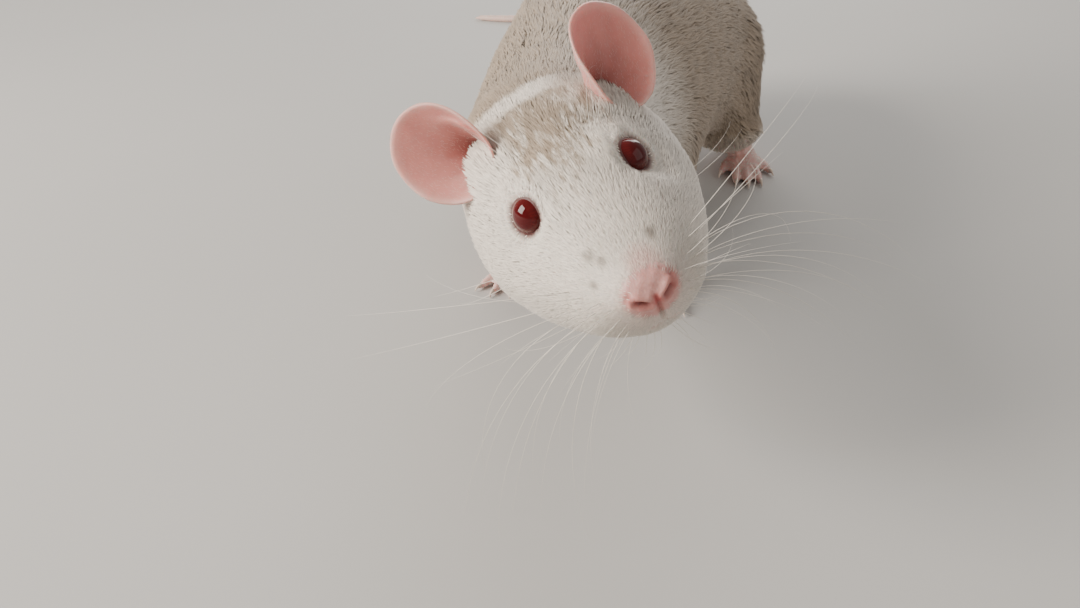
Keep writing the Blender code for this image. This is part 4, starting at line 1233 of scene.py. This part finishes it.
def ear_material():
    make = Maker("ear_skin")
    spot = make.place()
    mottle = make.noise(spot, 0.5, 3.0)
    colour = make.mix(mottle, tuple(c * 0.9 for c in EAR_PINK), tuple(min(1.0, c * 1.14) for c in EAR_PINK))
    # Darker red towards the canal: partly redder skin, partly painted shade in the recess.
    colour = make.mix(make.times(make.value("canal"), 0.9), colour, EAR_CANAL_SHADE_RED)
    colour = make.mix(make.times(make.value("rim"), 0.5), colour, EAR_RIM_PINK)
    make.bump(make.noise(spot, 2.4, 3.0), 0.25, 0.00015)
    return make.finish(colour, Roughness=0.5, Subsurface_Weight=0.5, Subsurface_Radius=(1.0, 0.28, 0.18),
                       Subsurface_Scale=0.0016, Sheen_Weight=0.2)


def tail_material():
    make = Maker("tail_scales")
    spot = make.place(head=False)
    colour = make.mix(make.noise(spot, 320.0, 3.0), *TAIL_PINKS)
    make.bump(make.noise(spot, 2600.0, 2.0), 0.4, 0.0001)
    return make.finish(colour, Roughness=0.5, Subsurface_Weight=0.25, Subsurface_Radius=(1.0, 0.4, 0.25),
                       Subsurface_Scale=0.001)


def eye_material():
    """A dark red iris round a darker pupil, by how near the pole of the eyeball's own unwrap is."""
    make = Maker("ruby_eye")
    unwrap = make.node("ShaderNodeTexCoord", output="UV")
    polar = make.split(unwrap)[1]
    spread = make.node("ShaderNodeMapping", inputs={0: unwrap, "Scale": (90.0, 3.0, 1.0)})
    iris = make.mix(make.noise(spread, 1.0, 2.0), *IRIS_REDS)
    colour = make.mix(make.span(polar, 0.79, 0.84), iris, PUPIL_RED)
    colour = make.mix(make.span(polar, 0.62, 0.52), colour, EYE_SHADOW)
    return make.finish(colour, Roughness=0.08, Coat_Weight=1.0, Coat_Roughness=0.02, Coat_IOR=1.3,
                       Specular_IOR_Level=0.1)


def plain_material(name, colour, roughness, grain):
    """One colour with a faint grain."""
    make = Maker(name)
    grown = make.noise(make.place(head=False), grain, 3.0)
    shaded = make.mix(grown, tuple(c * 0.9 for c in colour), colour)
    return make.finish(shaded, Roughness=roughness)


def paint(thing, material):
    thing.data.materials.clear()
    thing.data.materials.append(material)


def make_floor():
    deselect()
    bpy.ops.mesh.primitive_plane_add(size=4.0, location=(0.0, 0.0, 0.0))
    floor = bpy.context.object
    floor.name = "floor"
    return floor


def photo_camera():
    """The camera, placed in the head's frame so that the head fills the picture as in the photograph."""
    flat = Vector((math.sin(CAMERA_AZIMUTH), -math.cos(CAMERA_AZIMUTH), 0.0))
    outward = flat * math.cos(CAMERA_ELEVATION) + Vector((0.0, 0.0, math.sin(CAMERA_ELEVATION)))
    right = Vector((0.0, 0.0, 1.0)).cross(outward).normalized()
    turn = Matrix((right, outward.cross(right), outward)).transposed()
    turn = turn @ Matrix.Rotation(CAMERA_ROLL, 3, "Z")
    turn = turn @ Matrix.Rotation(-CAMERA_SWING, 3, "Y") @ Matrix.Rotation(-CAMERA_DIP, 3, "X")
    place = turn.to_4x4()
    place.translation = outward * CAMERA_DISTANCE
    deselect()
    bpy.ops.object.camera_add()
    camera = bpy.context.object
    camera.name = "camera"
    unscaled = HEAD.copy() @ Matrix.Scale(1 / MM, 4)
    place.translation *= MM
    camera.matrix_world = unscaled @ place
    camera.data.lens = CAMERA_LENS
    camera.data.sensor_width = CAMERA_SENSOR
    camera.data.clip_start = CAMERA_NEAREST
    bpy.context.scene.camera = camera
    return camera


# Soft lights: place by the camera's right, up and backward, width, power in watts, colour.
LAMPS = {
    "key_light": ((-0.70, 0.22, 0.28), 0.45, 12.5, (1.0, 0.93, 0.84)),
    "fill_light": ((0.75, 0.30, 0.45), 0.80, 1.5, (1.0, 0.97, 0.93)),
    "back_light": ((0.10, 0.75, -0.55), 0.60, 4.5, (1.0, 0.97, 0.93)),
}
LAMP_LOWEST = 0.2
WORLD_LIGHT = ((1.0, 0.965, 0.92, 1.0), 0.36)


def lamp(name, camera, place, size, power, colour):
    """A soft square light, placed by the camera's own right, up and backward, facing the head."""
    deselect()
    bpy.ops.object.light_add(type="AREA")
    light = bpy.context.object
    light.name = name
    light.data.size, light.data.energy, light.data.color = size, power, colour
    axes = camera.matrix_world.to_3x3()
    spot = HEAD.translation + axes @ Vector(place)
    spot.z = max(spot.z, LAMP_LOWEST)
    aim = (spot - HEAD.translation).to_track_quat("Z", "Y")
    light.matrix_world = Matrix.Translation(spot) @ aim.to_matrix().to_4x4()


def make_studio(camera):
    for name, settings in LAMPS.items():
        lamp(name, camera, *settings)
    world = bpy.data.worlds.new("studio")
    bpy.context.scene.world = world
    world.use_nodes = True
    background = world.node_tree.nodes["Background"]
    background.inputs[0].default_value, background.inputs[1].default_value = WORLD_LIGHT


def make_coats(skin, dice):
    """The head's coat and the body's, as solid tufts."""
    ground = Ground(skin)
    coats = coat_pieces("coat_head", ground.scatter(face_density, dice), dice, face_sizes, HEAD_CLUMPS)
    coats += coat_pieces("coat_body", ground.scatter(body_density, dice), dice, body_sizes, BODY_CLUMPS)
    fur = coat_material()
    for coat in coats:
        paint(coat, fur)
    return coats


# Hairs on each square millimetre, their length, width and rise.
TAIL_BRISTLES = (1.3, 1.7, 0.055, 0.42)
EAR_DOWN = (3.0, 0.7, 0.03, 0.2)


def make_bristles(tail, path, ears, dice):
    """The sparse short hairs of the tail, which point to its tip, and the down of the ears."""

    def to_tip(places):
        nearest = np.argmin(np.linalg.norm(places[:, None] - path[None, ::4], axis=2), axis=1) * 4
        return unit(path[np.minimum(nearest + 4, len(path) - 1)] - path[np.maximum(nearest - 4, 0)])

    down = bristles("tail_bristles", tail, *TAIL_BRISTLES, to_tip, dice)
    paint(down, plain_material("tail_hair", TAIL_HAIR_CREAM, 0.5, 300.0))
    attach(down, "root")
    for name, ear in zip(SIDES, ears):
        unwrapped(ear)
        up = np.array(HEAD_TURN) @ ear_axes(name)[1]
        label = f"ear_down_{name}"
        down = bristles(label, ear, *EAR_DOWN, lambda places: np.tile(up, (len(places), 1)), dice)
        paint(down, plain_material(label, SKIN_PINK, 0.6, 300.0))
        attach(down, "root")


def main():
    camera = photo_camera()
    tail, path = make_tail()
    skin = make_skin(path[TAIL_HIDDEN:])
    unwrapped(skin)
    mark_skin(skin)
    dice = np.random.default_rng(COAT_SEED)
    coats = make_coats(skin, dice)
    ears = make_ears()
    for name, ear in zip(SIDES, ears):
        paint(ear, ear_material())
        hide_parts(f"ear_{name}")
    eyes = make_eyes()
    for name, eye in zip(SIDES, eyes):
        paint(eye, eye_material())
        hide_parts(f"eye_{name}")
    unwrapped(tail)
    paint(tail, tail_material())
    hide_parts(*TAIL)
    paint(skin, skin_material())
    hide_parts(*FURRED, *PAWS)
    make_bristles(tail, path, ears, dice)
    whiskers, claws = make_whiskers(skin), make_claws()
    paint(whiskers, plain_material("whisker_hair", WHISKER_CREAM, 0.35, 300.0))
    paint(claws, plain_material("claw_horn", CLAW_HORN, 0.35, 500.0))
    for piece in [skin, *coats, *ears, *eyes, tail, whiskers, claws]:
        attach(piece, "root")
    paint(make_floor(), plain_material("pale_floor", FLOOR_GREY, 0.75, 6.0))
    make_studio(camera)


main()
